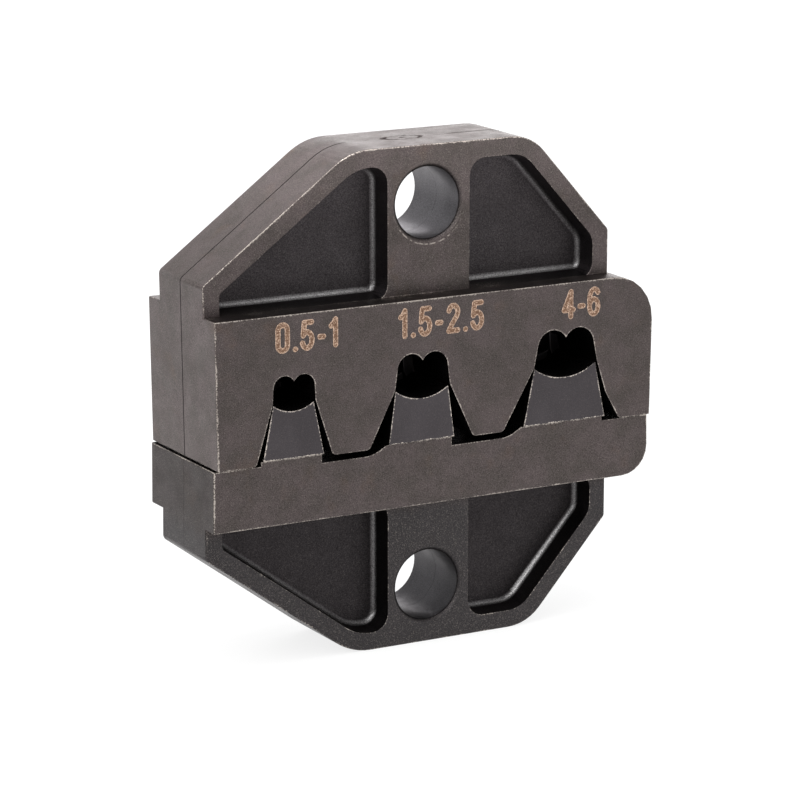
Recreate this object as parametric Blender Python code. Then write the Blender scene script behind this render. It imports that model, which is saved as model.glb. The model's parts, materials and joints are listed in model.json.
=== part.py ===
"""Interchangeable crimping die set for ratchet crimping pliers, closed and standing on its lower tab.

Each half is two plates laid back to back: the front plates crimp the insulation, the rear plates the
conductor. Three separate anvils sit in each lower plate and close into the nests of the upper plate.
Blind dowel pins register the two plates of a half. Units are metres, +Z is up, the front faces -Y.
"""

import math

import bmesh
import bpy

# Block and bar, the wide bodies that hold the nests and the anvils
BLOCK_WIDTH = 0.0450
BLOCK_HEIGHT = 0.0133
BAR_HEIGHT = 0.0056
BLOCK_REACH = 0.00665
BAR_SETBACK = 0.0006
SIDE_DRAFT_DEGREES = 0.9
BLOCK_CORNER_RADIUS = 0.0042

# Tabs that the jaws of the pliers hold
TAB_HEIGHT = 0.01345
TAB_REACH = 0.0044
TAB_STEP = 0.0036
LEFT_SHOULDER_HEIGHT = 0.00275
RIGHT_SHOULDER_HEIGHT = 0.0041
LEFT_SLOPE_SHARE = 0.3244
RIGHT_SLOPE_SHARE = 0.1844
LEFT_CREST_RADIUS = 0.0060
RIGHT_CREST_RADIUS = 0.0045
SHOULDER_RADIUS = 0.0006

# Retaining hole and the pillar that carries it
HOLE_RADIUS = 0.00325
HOLE_CHAMFER = 0.00035
HOLE_HEIGHT_SHARE = 0.606
PILLAR_WIDTH = 0.0084

# Pockets beside the pillar
RIM_WIDTH = 0.00165
POCKET_DEPTH = 0.0023
POCKET_SINK = 0.0004
POCKET_DRAFT_DEGREES = 5.0
POCKET_FOOT_DRAFT_DEGREES = 8.0
POCKET_FLOOR_RADIUS = 0.0005
POCKET_CORNER_RADIUS = 0.0016
POCKET_SHARP_RADIUS = 0.0006

# Nests, left to right: small, medium and large. Their widths and those of the teeth are shares of the block's
LEFT_TOOTH_SHARE = 0.088
SECOND_TOOTH_SHARE = 0.0787
THIRD_TOOTH_SHARE = 0.0656
TOOTH_RELIEF = 0.00018
TOOTH_RADIUS = 0.0005
LAND_DROP = 0.0004
PEDESTAL_RISE = 0.0004
PEDESTAL_LEDGE = 0.00035
PEDESTAL_RAMP = 0.0018
SMALL_THROAT_HEIGHT = 0.00542
MEDIUM_THROAT_HEIGHT = 0.00532
LARGE_THROAT_HEIGHT = 0.00575
SMALL_LEFT_FLANK_DEGREES = 17.0
SMALL_RIGHT_FLANK_DEGREES = 18.0
MEDIUM_LEFT_FLANK_DEGREES = 27.0
MEDIUM_RIGHT_FLANK_DEGREES = 25.3
LARGE_LEFT_FLANK_DEGREES = 30.3
LARGE_RIGHT_FLANK_DEGREES = 29.4
EVEN_LEAD_RATIO = 1.0
STEEP_LEAD_RATIO = 0.55
LEAD_HEIGHT_SHARE = 0.53

# Insulation nests of the front plates
SMALL_INSULATION_SHARE = 0.0934
MEDIUM_INSULATION_SHARE = 0.1242
LARGE_INSULATION_SHARE = 0.1489
SMALL_INSULATION_TOP = 0.00785
MEDIUM_INSULATION_TOP = 0.00845
LARGE_INSULATION_TOP = 0.00905
SMALL_WALL_DEGREES = 3.0
MEDIUM_WALL_DEGREES = 7.7
LARGE_WALL_DEGREES = 12.5
INSULATION_SADDLE_SHARE = 0.16

# Conductor nests of the rear plates
SMALL_CONDUCTOR_SHARE = 0.0556
MEDIUM_CONDUCTOR_SHARE = 0.0778
LARGE_CONDUCTOR_SHARE = 0.1067
SMALL_CONDUCTOR_TOP = 0.0072
MEDIUM_CONDUCTOR_TOP = 0.0076
LARGE_CONDUCTOR_TOP = 0.0083
CONDUCTOR_WALL_DEGREES = 3.0
CONDUCTOR_SADDLE_SHARE = 0.10
LOBE_OVERLAP_SHARE = 0.065

# Anvils and the dovetail roots that hold them
ANVIL_SETBACK = 0.00015
ANVIL_DROP = 0.00015
SMALL_ANVIL_DEGREES = 11.5
MEDIUM_ANVIL_DEGREES = 7.7
LARGE_ANVIL_DEGREES = 11.5
ROOT_DEPTH = 0.0024
ROOT_NECK_SHARE = 0.45
ROOT_FLARE_DEGREES = 12.0

# Dowel pins
DOWEL_RADIUS = 0.00125
DOWEL_LENGTH = 0.0080
DOWEL_CHAMFER = 0.0002
UPPER_DOWEL_HEIGHT = 0.0086
LOWER_DOWEL_DEPTH = 0.0028

# Clearances
SPLIT_GAP = 0.00015
SEAM_GAP = 0.00015
ANVIL_CLEARANCE = 0.0001
SEAT_GAP = 0.0001
ROOT_CLEARANCE = 0.0003
DOWEL_CLEARANCE = 0.00005
DOWEL_END_GAP = 0.0003

# Facets of the round stretches
HOLE_SEGMENTS = 48
DOWEL_SEGMENTS = 24
LOBE_SEGMENTS = 12
SADDLE_SEGMENTS = 12
CORNER_SEGMENTS = 5
CREST_SEGMENTS = 6
FILLET_RINGS = 4

# How far a cutter reaches past the faces that it cuts
OVERCUT = 0.001

HALF_WIDTH = BLOCK_WIDTH / 2
BAR_FRONT_REACH = BLOCK_REACH - BAR_SETBACK
ANVIL_REACH = BLOCK_REACH - ANVIL_SETBACK
ROOT_REACH = TAB_REACH
TAB_RIGHT_WIDTH = HALF_WIDTH - TAB_STEP
LEFT_SLOPE_RUN = LEFT_SLOPE_SHARE * BLOCK_WIDTH
RIGHT_SLOPE_RUN = RIGHT_SLOPE_SHARE * BLOCK_WIDTH
HOLE_HEIGHT = HOLE_HEIGHT_SHARE * TAB_HEIGHT
LAND_Z = TAB_HEIGHT + BAR_HEIGHT
TEETH_Z = LAND_Z + SPLIT_GAP
BLOCK_TOP_Z = TEETH_Z + BLOCK_HEIGHT
TOP_Z = BLOCK_TOP_Z + TAB_HEIGHT
SEAM_HALF = SEAM_GAP / 2
FRONT = -1
REAR = 1


class Nest:
    """One nest and its anvil: heights are above the foot of the end teeth, widths are across the nest."""

    def __init__(self, name, share, throat, top, wall_degrees, flanks, anvil_degrees, saddle):
        self.name = name
        self.half_throat = share * BLOCK_WIDTH / 2
        self.throat = throat
        self.top = top
        self.wall_slope = math.tan(math.radians(wall_degrees))
        self.flanks = flanks
        self.anvil_slope = math.tan(math.radians(anvil_degrees))
        self.saddle = saddle * share * BLOCK_WIDTH
        self.centre = 0.0

    def flank(self, side):
        """Slope of the flank, and height and reach of its lead below the throat, left or right."""
        degrees, share = self.flanks[0 if side < 0 else 1]
        slope = math.tan(math.radians(degrees))
        drop = self.throat * LEAD_HEIGHT_SHARE
        return slope, self.throat - drop, self.half_throat + drop * slope * share

    def mouth(self, side):
        """Distance from the centre to the flank at the foot of the teeth, left or right."""
        slope, lead_z, lead_x = self.flank(side)
        return lead_x + lead_z * slope

    @property
    def lobe(self):
        """Radius, half spacing and centre height of the two rounded lobes at the top of the nest."""
        shrink = self.wall_slope * (self.top - self.throat)
        half_width = (self.half_throat - shrink) / (1 - self.wall_slope * (1 + LOBE_OVERLAP_SHARE) / 2)
        radius = half_width * (1 + LOBE_OVERLAP_SHARE) / 2
        return radius, half_width - radius, self.top - radius

    @property
    def half_crown(self):
        """Half the width of the anvil at its top."""
        return self.half_throat - ANVIL_CLEARANCE

    @property
    def crown(self):
        """Height above the lands of the two corners of the anvil's top."""
        return self.throat + SPLIT_GAP - ANVIL_DROP

    @property
    def half_base(self):
        """Half the width of the anvil where it stands on its pedestal."""
        return self.half_crown + (self.crown - PEDESTAL_RISE) * self.anvil_slope


def flank_table():
    """Flank angle and lead of each nest, left then right. The large one steepens towards its throat."""
    return {
        "small": ((SMALL_LEFT_FLANK_DEGREES, EVEN_LEAD_RATIO), (SMALL_RIGHT_FLANK_DEGREES, EVEN_LEAD_RATIO)),
        "medium": ((MEDIUM_LEFT_FLANK_DEGREES, EVEN_LEAD_RATIO), (MEDIUM_RIGHT_FLANK_DEGREES, EVEN_LEAD_RATIO)),
        "large": ((LARGE_LEFT_FLANK_DEGREES, EVEN_LEAD_RATIO), (LARGE_RIGHT_FLANK_DEGREES, STEEP_LEAD_RATIO)),
    }


def insulation_nests():
    flanks = flank_table()
    return [
        Nest("small", SMALL_INSULATION_SHARE, SMALL_THROAT_HEIGHT, SMALL_INSULATION_TOP,
             SMALL_WALL_DEGREES, flanks["small"], SMALL_ANVIL_DEGREES, INSULATION_SADDLE_SHARE),
        Nest("medium", MEDIUM_INSULATION_SHARE, MEDIUM_THROAT_HEIGHT, MEDIUM_INSULATION_TOP,
             MEDIUM_WALL_DEGREES, flanks["medium"], MEDIUM_ANVIL_DEGREES, INSULATION_SADDLE_SHARE),
        Nest("large", LARGE_INSULATION_SHARE, LARGE_THROAT_HEIGHT, LARGE_INSULATION_TOP,
             LARGE_WALL_DEGREES, flanks["large"], LARGE_ANVIL_DEGREES, INSULATION_SADDLE_SHARE),
    ]


def conductor_nests():
    flanks = flank_table()
    return [
        Nest("small", SMALL_CONDUCTOR_SHARE, SMALL_THROAT_HEIGHT, SMALL_CONDUCTOR_TOP,
             CONDUCTOR_WALL_DEGREES, flanks["small"], SMALL_ANVIL_DEGREES, CONDUCTOR_SADDLE_SHARE),
        Nest("medium", MEDIUM_CONDUCTOR_SHARE, MEDIUM_THROAT_HEIGHT, MEDIUM_CONDUCTOR_TOP,
             CONDUCTOR_WALL_DEGREES, flanks["medium"], MEDIUM_ANVIL_DEGREES, CONDUCTOR_SADDLE_SHARE),
        Nest("large", LARGE_CONDUCTOR_SHARE, LARGE_THROAT_HEIGHT, LARGE_CONDUCTOR_TOP,
             CONDUCTOR_WALL_DEGREES, flanks["large"], LARGE_ANVIL_DEGREES, CONDUCTOR_SADDLE_SHARE),
    ]


def place_nests(front, rear):
    """Set the nests side by side: tooth, nest, tooth, nest, tooth, nest. The rear ones share the centres."""
    teeth = [share * BLOCK_WIDTH for share in (LEFT_TOOTH_SHARE, SECOND_TOOTH_SHARE, THIRD_TOOTH_SHARE)]
    edge = -HALF_WIDTH
    for tooth, nest, behind in zip(teeth, front, rear):
        nest.centre = edge + tooth + nest.mouth(-1)
        behind.centre = nest.centre
        edge = nest.centre + nest.mouth(1)


def arc(centre_x, centre_z, radius, start_degrees, end_degrees, segments):
    """Points along a circular arc, both ends included."""
    step = (end_degrees - start_degrees) / segments
    angles = [math.radians(start_degrees + step * i) for i in range(segments + 1)]
    return [(centre_x + radius * math.cos(a), centre_z + radius * math.sin(a)) for a in angles]


def meet(line, other):
    """Where two lines cross, each given by two of its points."""
    (ax, az), (bx, bz) = line
    (cx, cz), (dx, dz) = other
    ux, uz = bx - ax, bz - az
    vx, vz = dx - cx, dz - cz
    share = ((cx - ax) * vz - (cz - az) * vx) / (ux * vz - uz * vx)
    return ax + ux * share, az + uz * share


def inset_line(start, end, distance):
    """The edge from start to end moved to its left, which is inwards on an anticlockwise outline."""
    ux, uz = end[0] - start[0], end[1] - start[1]
    length = math.hypot(ux, uz)
    shift_x, shift_z = -uz / length * distance, ux / length * distance
    return (start[0] + shift_x, start[1] + shift_z), (end[0] + shift_x, end[1] + shift_z)


def inset_outline(corners, distances):
    """An outline with every edge moved inwards by its own distance."""
    count = len(corners)
    lines = [inset_line(corners[i], corners[(i + 1) % count], distances[i]) for i in range(count)]
    return [meet(lines[i - 1], lines[i]) for i in range(count)]


def round_corner(before, corner, after, radius, segments):
    """The arc that rounds one corner, limited so that it takes less than half of either edge."""
    into = (before[0] - corner[0], before[1] - corner[1])
    out = (after[0] - corner[0], after[1] - corner[1])
    into_length, out_length = math.hypot(*into), math.hypot(*out)
    cosine = (into[0] * out[0] + into[1] * out[1]) / (into_length * out_length)
    half_angle = math.acos(max(-1.0, min(1.0, cosine))) / 2
    tangent = min(radius / math.tan(half_angle), 0.49 * into_length, 0.49 * out_length)
    used = tangent * math.tan(half_angle)
    into = (into[0] / into_length, into[1] / into_length)
    out = (out[0] / out_length, out[1] / out_length)
    middle = (into[0] + out[0], into[1] + out[1])
    middle_length = math.hypot(*middle)
    reach = math.hypot(tangent, used) / middle_length
    centre = (corner[0] + middle[0] * reach, corner[1] + middle[1] * reach)
    first = math.atan2(corner[1] + into[1] * tangent - centre[1], corner[0] + into[0] * tangent - centre[0])
    last = math.atan2(corner[1] + out[1] * tangent - centre[1], corner[0] + out[0] * tangent - centre[0])
    sweep = (last - first + math.pi) % (2 * math.pi) - math.pi
    return arc(centre[0], centre[1], used, math.degrees(first), math.degrees(first + sweep), segments)


def round_outline(corners, radii, segments):
    """An outline with each corner rounded; a radius of zero keeps the corner sharp."""
    count = len(corners)
    points = []
    for i, (corner, radius) in enumerate(zip(corners, radii)):
        if radius <= 0:
            points.append(corner)
        else:
            points += round_corner(corners[i - 1], corner, corners[(i + 1) % count], radius, segments)
    return points


def mesh_object(name, points, faces, material):
    """A closed mesh with its faces pointing out."""
    mesh = bpy.data.meshes.new(name)
    mesh.from_pydata(points, [], faces)
    shape = bmesh.new()
    shape.from_mesh(mesh)
    bmesh.ops.recalc_face_normals(shape, faces=shape.faces)
    shape.to_mesh(mesh)
    shape.free()
    if material is not None:
        mesh.materials.append(material)
    solid = bpy.data.objects.new(name, mesh)
    bpy.context.scene.collection.objects.link(solid)
    return solid


def loft(name, sections, material=None):
    """Skin through sections with equally many points, closed by a face at each end."""
    count = len(sections[0])
    points = [point for section in sections for point in section]
    faces = [tuple(range(count)), tuple(range(len(points) - count, len(points)))]
    for ring in range(len(sections) - 1):
        for i in range(count):
            j = (i + 1) % count
            faces.append((ring * count + i, ring * count + j, (ring + 1) * count + j, (ring + 1) * count + i))
    return mesh_object(name, points, faces, material)


def prism(name, outline, near, far, material=None):
    """An outline in X and Z carried straight along Y."""
    return loft(name, [[(x, y, z) for x, z in outline] for y in (near, far)], material)


def turned(name, centre_x, centre_z, rings, segments, material=None):
    """A solid of revolution about an axis along Y, from pairs of Y and radius."""
    sections = []
    for y, radius in rings:
        circle = arc(centre_x, centre_z, radius, 0, 360, segments)[:-1]
        sections.append([(x, y, z) for x, z in circle])
    return loft(name, sections, material)


def cut(solid, cutter):
    """Take the cutter out of the solid, and keep the cutter as a hidden wire helper."""
    modifier = solid.modifiers.new("cut_" + cutter.name, "BOOLEAN")
    modifier.operation = "DIFFERENCE"
    modifier.solver = "EXACT"
    modifier.object = cutter
    cutter.hide_render = True
    cutter.display_type = "WIRE"


def steel(name, colour, roughness, metallic):
    material = bpy.data.materials.new(name)
    material.use_nodes = True
    shader = material.node_tree.nodes["Principled BSDF"]
    shader.inputs["Base Color"].default_value = (*colour, 1.0)
    shader.inputs["Roughness"].default_value = roughness
    shader.inputs["Metallic"].default_value = metallic
    material.diffuse_color = (*colour, 1.0)
    return material


def flip(outline):
    """The outline of the upper half turned over to make the lower half."""
    return [(x, -z) for x, z in outline]


def lift(outline, height):
    return [(x, z + height) for x, z in outline]


def tab_corners():
    """Sharp corners of a tab that stands on z = 0, anticlockwise from its lower left."""
    return [
        (-HALF_WIDTH, 0.0),
        (TAB_RIGHT_WIDTH, 0.0),
        (TAB_RIGHT_WIDTH, RIGHT_SHOULDER_HEIGHT),
        (TAB_RIGHT_WIDTH - RIGHT_SLOPE_RUN, TAB_HEIGHT),
        (-HALF_WIDTH + LEFT_SLOPE_RUN, TAB_HEIGHT),
        (-HALF_WIDTH, LEFT_SHOULDER_HEIGHT),
    ]


def body_foot(body_height):
    """Half the width of a body at its lower edge, which the draft of its sides makes narrower."""
    return HALF_WIDTH - body_height * math.tan(math.radians(SIDE_DRAFT_DEGREES))


def right_corner(body_height):
    """Rounded upper right corner of a body, split where it runs under the side of the tab."""
    foot, corner = (body_foot(body_height), -body_height), (HALF_WIDTH, 0.0)
    points = round_corner(foot, corner, (-HALF_WIDTH, 0.0), BLOCK_CORNER_RADIUS, CREST_SEGMENTS)
    points.append((0.0, 0.0))
    outside = [point for point in points if point[0] > TAB_RIGHT_WIDTH]
    inside = [point for point in points if point[0] <= TAB_RIGHT_WIDTH]
    (ax, az), (bx, bz) = outside[-1], inside[0]
    crossing = (TAB_RIGHT_WIDTH, az + (bz - az) * (ax - TAB_RIGHT_WIDTH) / (ax - bx))
    return outside, crossing, inside


def crown_outline(body_height):
    """Right side, tab and left side of a plate whose body runs from z = 0 down by body_height."""
    foot = body_foot(body_height)
    foot_left = (-foot, -body_height)
    tab = tab_corners()
    outside, crossing, _ = right_corner(body_height)
    outline = [(foot, -body_height)] + outside + [crossing]
    outline += round_corner(tab[1], tab[2], tab[3], SHOULDER_RADIUS, CORNER_SEGMENTS)
    outline += round_corner(tab[2], tab[3], tab[4], RIGHT_CREST_RADIUS, CREST_SEGMENTS)
    outline += round_corner(tab[3], tab[4], tab[5], LEFT_CREST_RADIUS, CREST_SEGMENTS)
    outline += round_corner(tab[4], tab[5], tab[0], SHOULDER_RADIUS, CORNER_SEGMENTS)
    outline.append(foot_left)
    return outline


def half_nest(nest, side, relief):
    """One side of a nest, from the foot of its tooth up to the saddle between the lobes."""
    radius, spacing, lobe_height = nest.lobe
    slope, lead_z, lead_x = nest.flank(side)
    foot_x = lead_x + (lead_z - relief) * slope
    foot = (foot_x, relief)
    tooth_middle = (foot_x + 4 * TOOTH_RADIUS, relief)
    lead = (lead_x, lead_z)
    throat = (nest.half_throat, nest.throat)
    points = round_corner(tooth_middle, foot, lead, TOOTH_RADIUS, CORNER_SEGMENTS)
    points.append(lead)
    points.append(throat)
    meeting = math.degrees(math.acos(min(1.0, spacing / radius)))
    wall = math.degrees(math.atan(nest.wall_slope))
    points += arc(spacing, lobe_height, radius, wall, 180 - meeting, LOBE_SEGMENTS)
    points = [(nest.centre + side * x, z) for x, z in points]
    return points if side < 0 else points[::-1]


def upper_outline(nests):
    """Outline of an upper plate with its teeth and nests, measured from the foot of the end teeth."""
    body = lift(crown_outline(BLOCK_HEIGHT), BLOCK_HEIGHT)
    last = len(nests) - 1
    teeth = []
    for i, nest in enumerate(nests):
        teeth += half_nest(nest, -1, 0.0 if i == 0 else TOOTH_RELIEF)
        teeth += half_nest(nest, 1, 0.0 if i == last else TOOTH_RELIEF)[1:]
    return body + teeth


def ramp(end_x, low, high):
    """A hollow rise from the middle land up to the ledge in front of a pedestal."""
    steps = [i / CORNER_SEGMENTS for i in range(CORNER_SEGMENTS + 1)]
    return [(end_x - PEDESTAL_RAMP * (1 - t), low + (high - low) * t * t) for t in steps]


def lower_outline(nests):
    """Outline of a lower plate with its lands and pedestals, measured from the end lands."""
    body = lift(flip(crown_outline(BAR_HEIGHT)), -BAR_HEIGHT)
    last = len(nests) - 1
    top = []
    for i, nest in enumerate(nests):
        left, right = nest.centre - nest.half_base, nest.centre + nest.half_base
        floor_left = 0.0 if i == 0 else -LAND_DROP
        floor_right = 0.0 if i == last else -LAND_DROP
        ledge = left - PEDESTAL_LEDGE
        top += ramp(ledge, floor_left, PEDESTAL_RISE / 2) if i else [(left, floor_left)]
        top += [(left, PEDESTAL_RISE), (right, PEDESTAL_RISE), (right, floor_right)]
    return body[::-1] + top[::-1]


def pocket_cutter(name, corners, distances, radii, face, side, turn):
    """A drafted pocket with a filleted floor, sunk from the tab's face and cut off level at the tab's foot."""
    draft = math.tan(math.radians(POCKET_DRAFT_DEGREES))
    foot_draft = math.tan(math.radians(POCKET_FOOT_DRAFT_DEGREES))
    wall = POCKET_DEPTH - POCKET_FLOOR_RADIUS
    steps = [(-OVERCUT, 0.0, 0.0), (0.0, 0.0, 0.0)]
    for ring in range(FILLET_RINGS + 1):
        angle = math.pi / 2 * ring / FILLET_RINGS
        depth = wall + POCKET_FLOOR_RADIUS * math.sin(angle)
        rounding = POCKET_FLOOR_RADIUS * (1 - math.cos(angle))
        steps.append((depth, wall * draft + rounding, wall * foot_draft + rounding))
    sections = []
    for depth, shrink, rise in steps:
        outline = inset_outline(corners, [distance + shrink for distance in distances])
        reduced = [max(radius - shrink, POCKET_SHARP_RADIUS / 4) for radius in radii]
        rounded = round_outline(outline, reduced, CORNER_SEGMENTS)
        levelled = turn([(x, max(z, rise)) for x, z in rounded])
        sections.append([(x, face - side * depth, z) for x, z in levelled])
    return loft(name, sections)


def pocket_cutters(prefix, side, turn):
    """The two pockets of one tab: inside the rim, either side of the pillar, down to the tab's foot."""
    tab = tab_corners()
    half_pillar = PILLAR_WIDTH / 2
    face = side * TAB_REACH
    left = [tab[0], (-half_pillar, 0.0), (-half_pillar, TAB_HEIGHT), tab[4], tab[5]]
    left_rims = [-POCKET_SINK, 0.0, RIM_WIDTH, RIM_WIDTH, RIM_WIDTH]
    left_radii = [POCKET_SHARP_RADIUS, POCKET_CORNER_RADIUS, POCKET_CORNER_RADIUS,
                  LEFT_CREST_RADIUS - RIM_WIDTH, POCKET_SHARP_RADIUS]
    right = [(half_pillar, 0.0), tab[1], tab[2], tab[3], (half_pillar, TAB_HEIGHT)]
    right_rims = [-POCKET_SINK, RIM_WIDTH, RIM_WIDTH, RIM_WIDTH, 0.0]
    right_radii = [POCKET_SHARP_RADIUS, POCKET_CORNER_RADIUS, POCKET_CORNER_RADIUS * 1.25,
                   RIGHT_CREST_RADIUS - RIM_WIDTH, POCKET_CORNER_RADIUS]
    return [
        pocket_cutter(prefix + "_left_pocket", left, left_rims, left_radii, face, side, turn),
        pocket_cutter(prefix + "_right_pocket", right, right_rims, right_radii, face, side, turn),
    ]


def relief_outline(body_height):
    """The space in front of a tab: level with the body's top, and down round its right corner."""
    _, crossing, inside = right_corner(body_height)
    span, high = HALF_WIDTH + OVERCUT, TAB_HEIGHT + OVERCUT
    return [(-span, 0.0)] + inside[::-1] + [crossing, (span, crossing[1]), (span, high), (-span, high)]


def tab_cutters(prefix, side, block_reach, body_height, base_z, upwards):
    """What shapes a tab from its plate: the relief in front of it, its pockets and its hole."""

    def turn(outline):
        return lift(outline if upwards > 0 else flip(outline), base_z)

    frame = turn(relief_outline(body_height))
    relief = prism(prefix + "_relief", frame, side * TAB_REACH, side * (block_reach + OVERCUT))
    hole_z = base_z + upwards * HOLE_HEIGHT
    wide = HOLE_RADIUS + HOLE_CHAMFER + OVERCUT
    rings = [
        (-side * OVERCUT, HOLE_RADIUS),
        (side * (TAB_REACH - HOLE_CHAMFER), HOLE_RADIUS),
        (side * (TAB_REACH + OVERCUT), wide),
    ]
    hole = turned(prefix + "_hole", 0.0, hole_z, rings, HOLE_SEGMENTS)
    return [relief, hole] + pocket_cutters(prefix, side, turn)


def dowel_places(nests):
    """Middle of each tooth between two nests, where the dowel pins lie."""
    places = []
    for left, right in zip(nests, nests[1:]):
        places.append((left.centre + left.mouth(1) + right.centre - right.mouth(-1)) / 2)
    return places


def dowel_cutters(prefix, side, places, height):
    """Blind holes for the dowel pins, bored from the seam."""
    depth = DOWEL_LENGTH / 2 + DOWEL_END_GAP
    radius = DOWEL_RADIUS + DOWEL_CLEARANCE
    rings = [(-side * OVERCUT, radius), (side * depth, radius)]
    return [turned(f"{prefix}_dowel_hole_{i}", x, height, rings, DOWEL_SEGMENTS) for i, x in enumerate(places)]


def root_outline(nest, clearance):
    """Dovetail root of an anvil below its pedestal, or with a clearance the socket that takes it."""
    neck = nest.half_crown * ROOT_NECK_SHARE
    foot = neck + ROOT_DEPTH * math.tan(math.radians(ROOT_FLARE_DEGREES))
    corners = [(-foot, -ROOT_DEPTH), (foot, -ROOT_DEPTH), (neck, 0.0), (-neck, 0.0)]
    distances = [-clearance, -clearance, 0.0, -clearance]
    grown = inset_outline(corners, distances)
    return [(nest.centre + x, PEDESTAL_RISE + z) for x, z in grown]


def socket_cutter(prefix, side, nest):
    """Blind dovetail slot, open at the seam and at the top of the pedestal."""
    outline = root_outline(nest, ROOT_CLEARANCE)
    lowest_left, lowest_right, right, left = outline
    above = PEDESTAL_RISE + OVERCUT
    outline = [lowest_left, lowest_right, right, (right[0], above), (left[0], above), left]
    reach = side * (ROOT_REACH + ROOT_CLEARANCE)
    return prism(f"{prefix}_socket_{nest.name}", lift(outline, LAND_Z), -side * OVERCUT, reach)


def make_upper_plate(name, side, nests, places, material):
    """An upper plate: toothed block, relieved and pocketed tab, retaining hole and dowel holes."""
    outline = lift(upper_outline(nests), TEETH_Z)
    plate = prism(name, outline, side * SEAM_HALF, side * BLOCK_REACH, material)
    cutters = tab_cutters(name, side, BLOCK_REACH, BLOCK_HEIGHT, BLOCK_TOP_Z, 1)
    cutters += dowel_cutters(name, side, places, TEETH_Z + UPPER_DOWEL_HEIGHT)
    for cutter in cutters:
        cut(plate, cutter)
    return plate


def make_lower_plate(name, side, reach, nests, places, material):
    """A lower plate: bar with lands and pedestals, sockets for the anvils, and the same tab turned over."""
    outline = lift(lower_outline(nests), LAND_Z)
    plate = prism(name, outline, side * SEAM_HALF, side * reach, material)
    cutters = tab_cutters(name, side, reach, BAR_HEIGHT, TAB_HEIGHT, -1)
    cutters += dowel_cutters(name, side, places, LAND_Z - LOWER_DOWEL_DEPTH)
    cutters += [socket_cutter(name, side, nest) for nest in nests]
    for cutter in cutters:
        cut(plate, cutter)
    return plate


def anvil_outline(nest):
    """Anvil above its pedestal: straight flanks and a hollow saddle that cradles the terminal."""
    half = nest.half_crown
    radius = (half * half + nest.saddle * nest.saddle) / (2 * nest.saddle)
    sweep = math.degrees(math.asin(min(1.0, half / radius)))
    centre_z = nest.crown - nest.saddle + radius
    saddle = arc(nest.centre, centre_z, radius, -90 + sweep, -90 - sweep, SADDLE_SEGMENTS)
    seat = PEDESTAL_RISE + SEAT_GAP
    neck = nest.half_crown * ROOT_NECK_SHARE
    root = root_outline(nest, 0.0)
    right = [(nest.centre + neck, seat), (nest.centre + nest.half_base, seat)]
    left = [(nest.centre - nest.half_base, seat), (nest.centre - neck, seat)]
    return right + saddle + left + root[:2]


def make_anvil(name, side, nest, material):
    """An anvil with its dovetail root, the root cut short of the plate's outer face."""
    outline = lift(anvil_outline(nest), LAND_Z)
    anvil = prism(name, outline, side * SEAM_HALF, side * ANVIL_REACH, material)
    seat = LAND_Z + PEDESTAL_RISE + SEAT_GAP
    span = nest.half_base + OVERCUT
    low = LAND_Z + PEDESTAL_RISE - ROOT_DEPTH - OVERCUT
    frame = [(nest.centre - span, low), (nest.centre + span, low), (nest.centre + span, seat),
             (nest.centre - span, seat)]
    cut(anvil, prism(name + "_root_end", frame, side * ROOT_REACH, side * (ANVIL_REACH + OVERCUT)))
    return anvil


def make_dowel(name, x, z, material):
    """A plain dowel pin with chamfered ends, centred on the seam."""
    half = DOWEL_LENGTH / 2
    rings = [
        (-half, DOWEL_RADIUS - DOWEL_CHAMFER),
        (-half + DOWEL_CHAMFER, DOWEL_RADIUS),
        (half - DOWEL_CHAMFER, DOWEL_RADIUS),
        (half, DOWEL_RADIUS - DOWEL_CHAMFER),
    ]
    dowel = turned(name, x, z, rings, DOWEL_SEGMENTS, material)
    dowel.data.shade_smooth()
    dowel.data.set_sharp_from_angle(angle=math.radians(30))
    return dowel


def clear_scene():
    for item in list(bpy.data.objects):
        bpy.data.objects.remove(item, do_unlink=True)


def main():
    clear_scene()
    plate_steel = steel("black_oxide_steel", (0.095, 0.086, 0.082), 0.52, 0.75)
    anvil_steel = steel("ground_anvil_steel", (0.085, 0.085, 0.086), 0.42, 0.8)
    dowel_steel = steel("dowel_steel", (0.45, 0.45, 0.46), 0.3, 1.0)
    front, rear = insulation_nests(), conductor_nests()
    place_nests(front, rear)
    places = dowel_places(front)

    upper = [
        make_upper_plate("upper_front_plate", FRONT, front, places, plate_steel),
        make_upper_plate("upper_rear_plate", REAR, rear, places, plate_steel),
    ]
    make_lower_plate("lower_front_plate", FRONT, BAR_FRONT_REACH, front, places, plate_steel)
    make_lower_plate("lower_rear_plate", REAR, BLOCK_REACH, rear, places, plate_steel)
    for side, place, nests in ((FRONT, "front", front), (REAR, "rear", rear)):
        for nest in nests:
            make_anvil(f"{place}_anvil_{nest.name}", side, nest, anvil_steel)
    for label, x in zip(("left", "right"), places):
        upper.append(make_dowel("upper_dowel_" + label, x, TEETH_Z + UPPER_DOWEL_HEIGHT, dowel_steel))
        make_dowel("lower_dowel_" + label, x, LAND_Z - LOWER_DOWEL_DEPTH, dowel_steel)

    # The upper half lifts straight off the lower one, so its pieces share a parent on that axis
    upper_half = bpy.data.objects.new("upper_half", None)
    bpy.context.scene.collection.objects.link(upper_half)
    for piece in upper:
        piece.parent = upper_half


main()
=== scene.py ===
"""Looks of a crimping die set: worn edges, oxide finish, size marks and the stage around it.

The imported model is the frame. Each plate and anvil is dressed by a copy of its solid with rounded,
worn edges, and the two plates of a half meet behind a fine groove. The size marks over the nests
are height fields worked out from the strokes of their digits.
"""

import json
import math
from typing import NamedTuple

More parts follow.
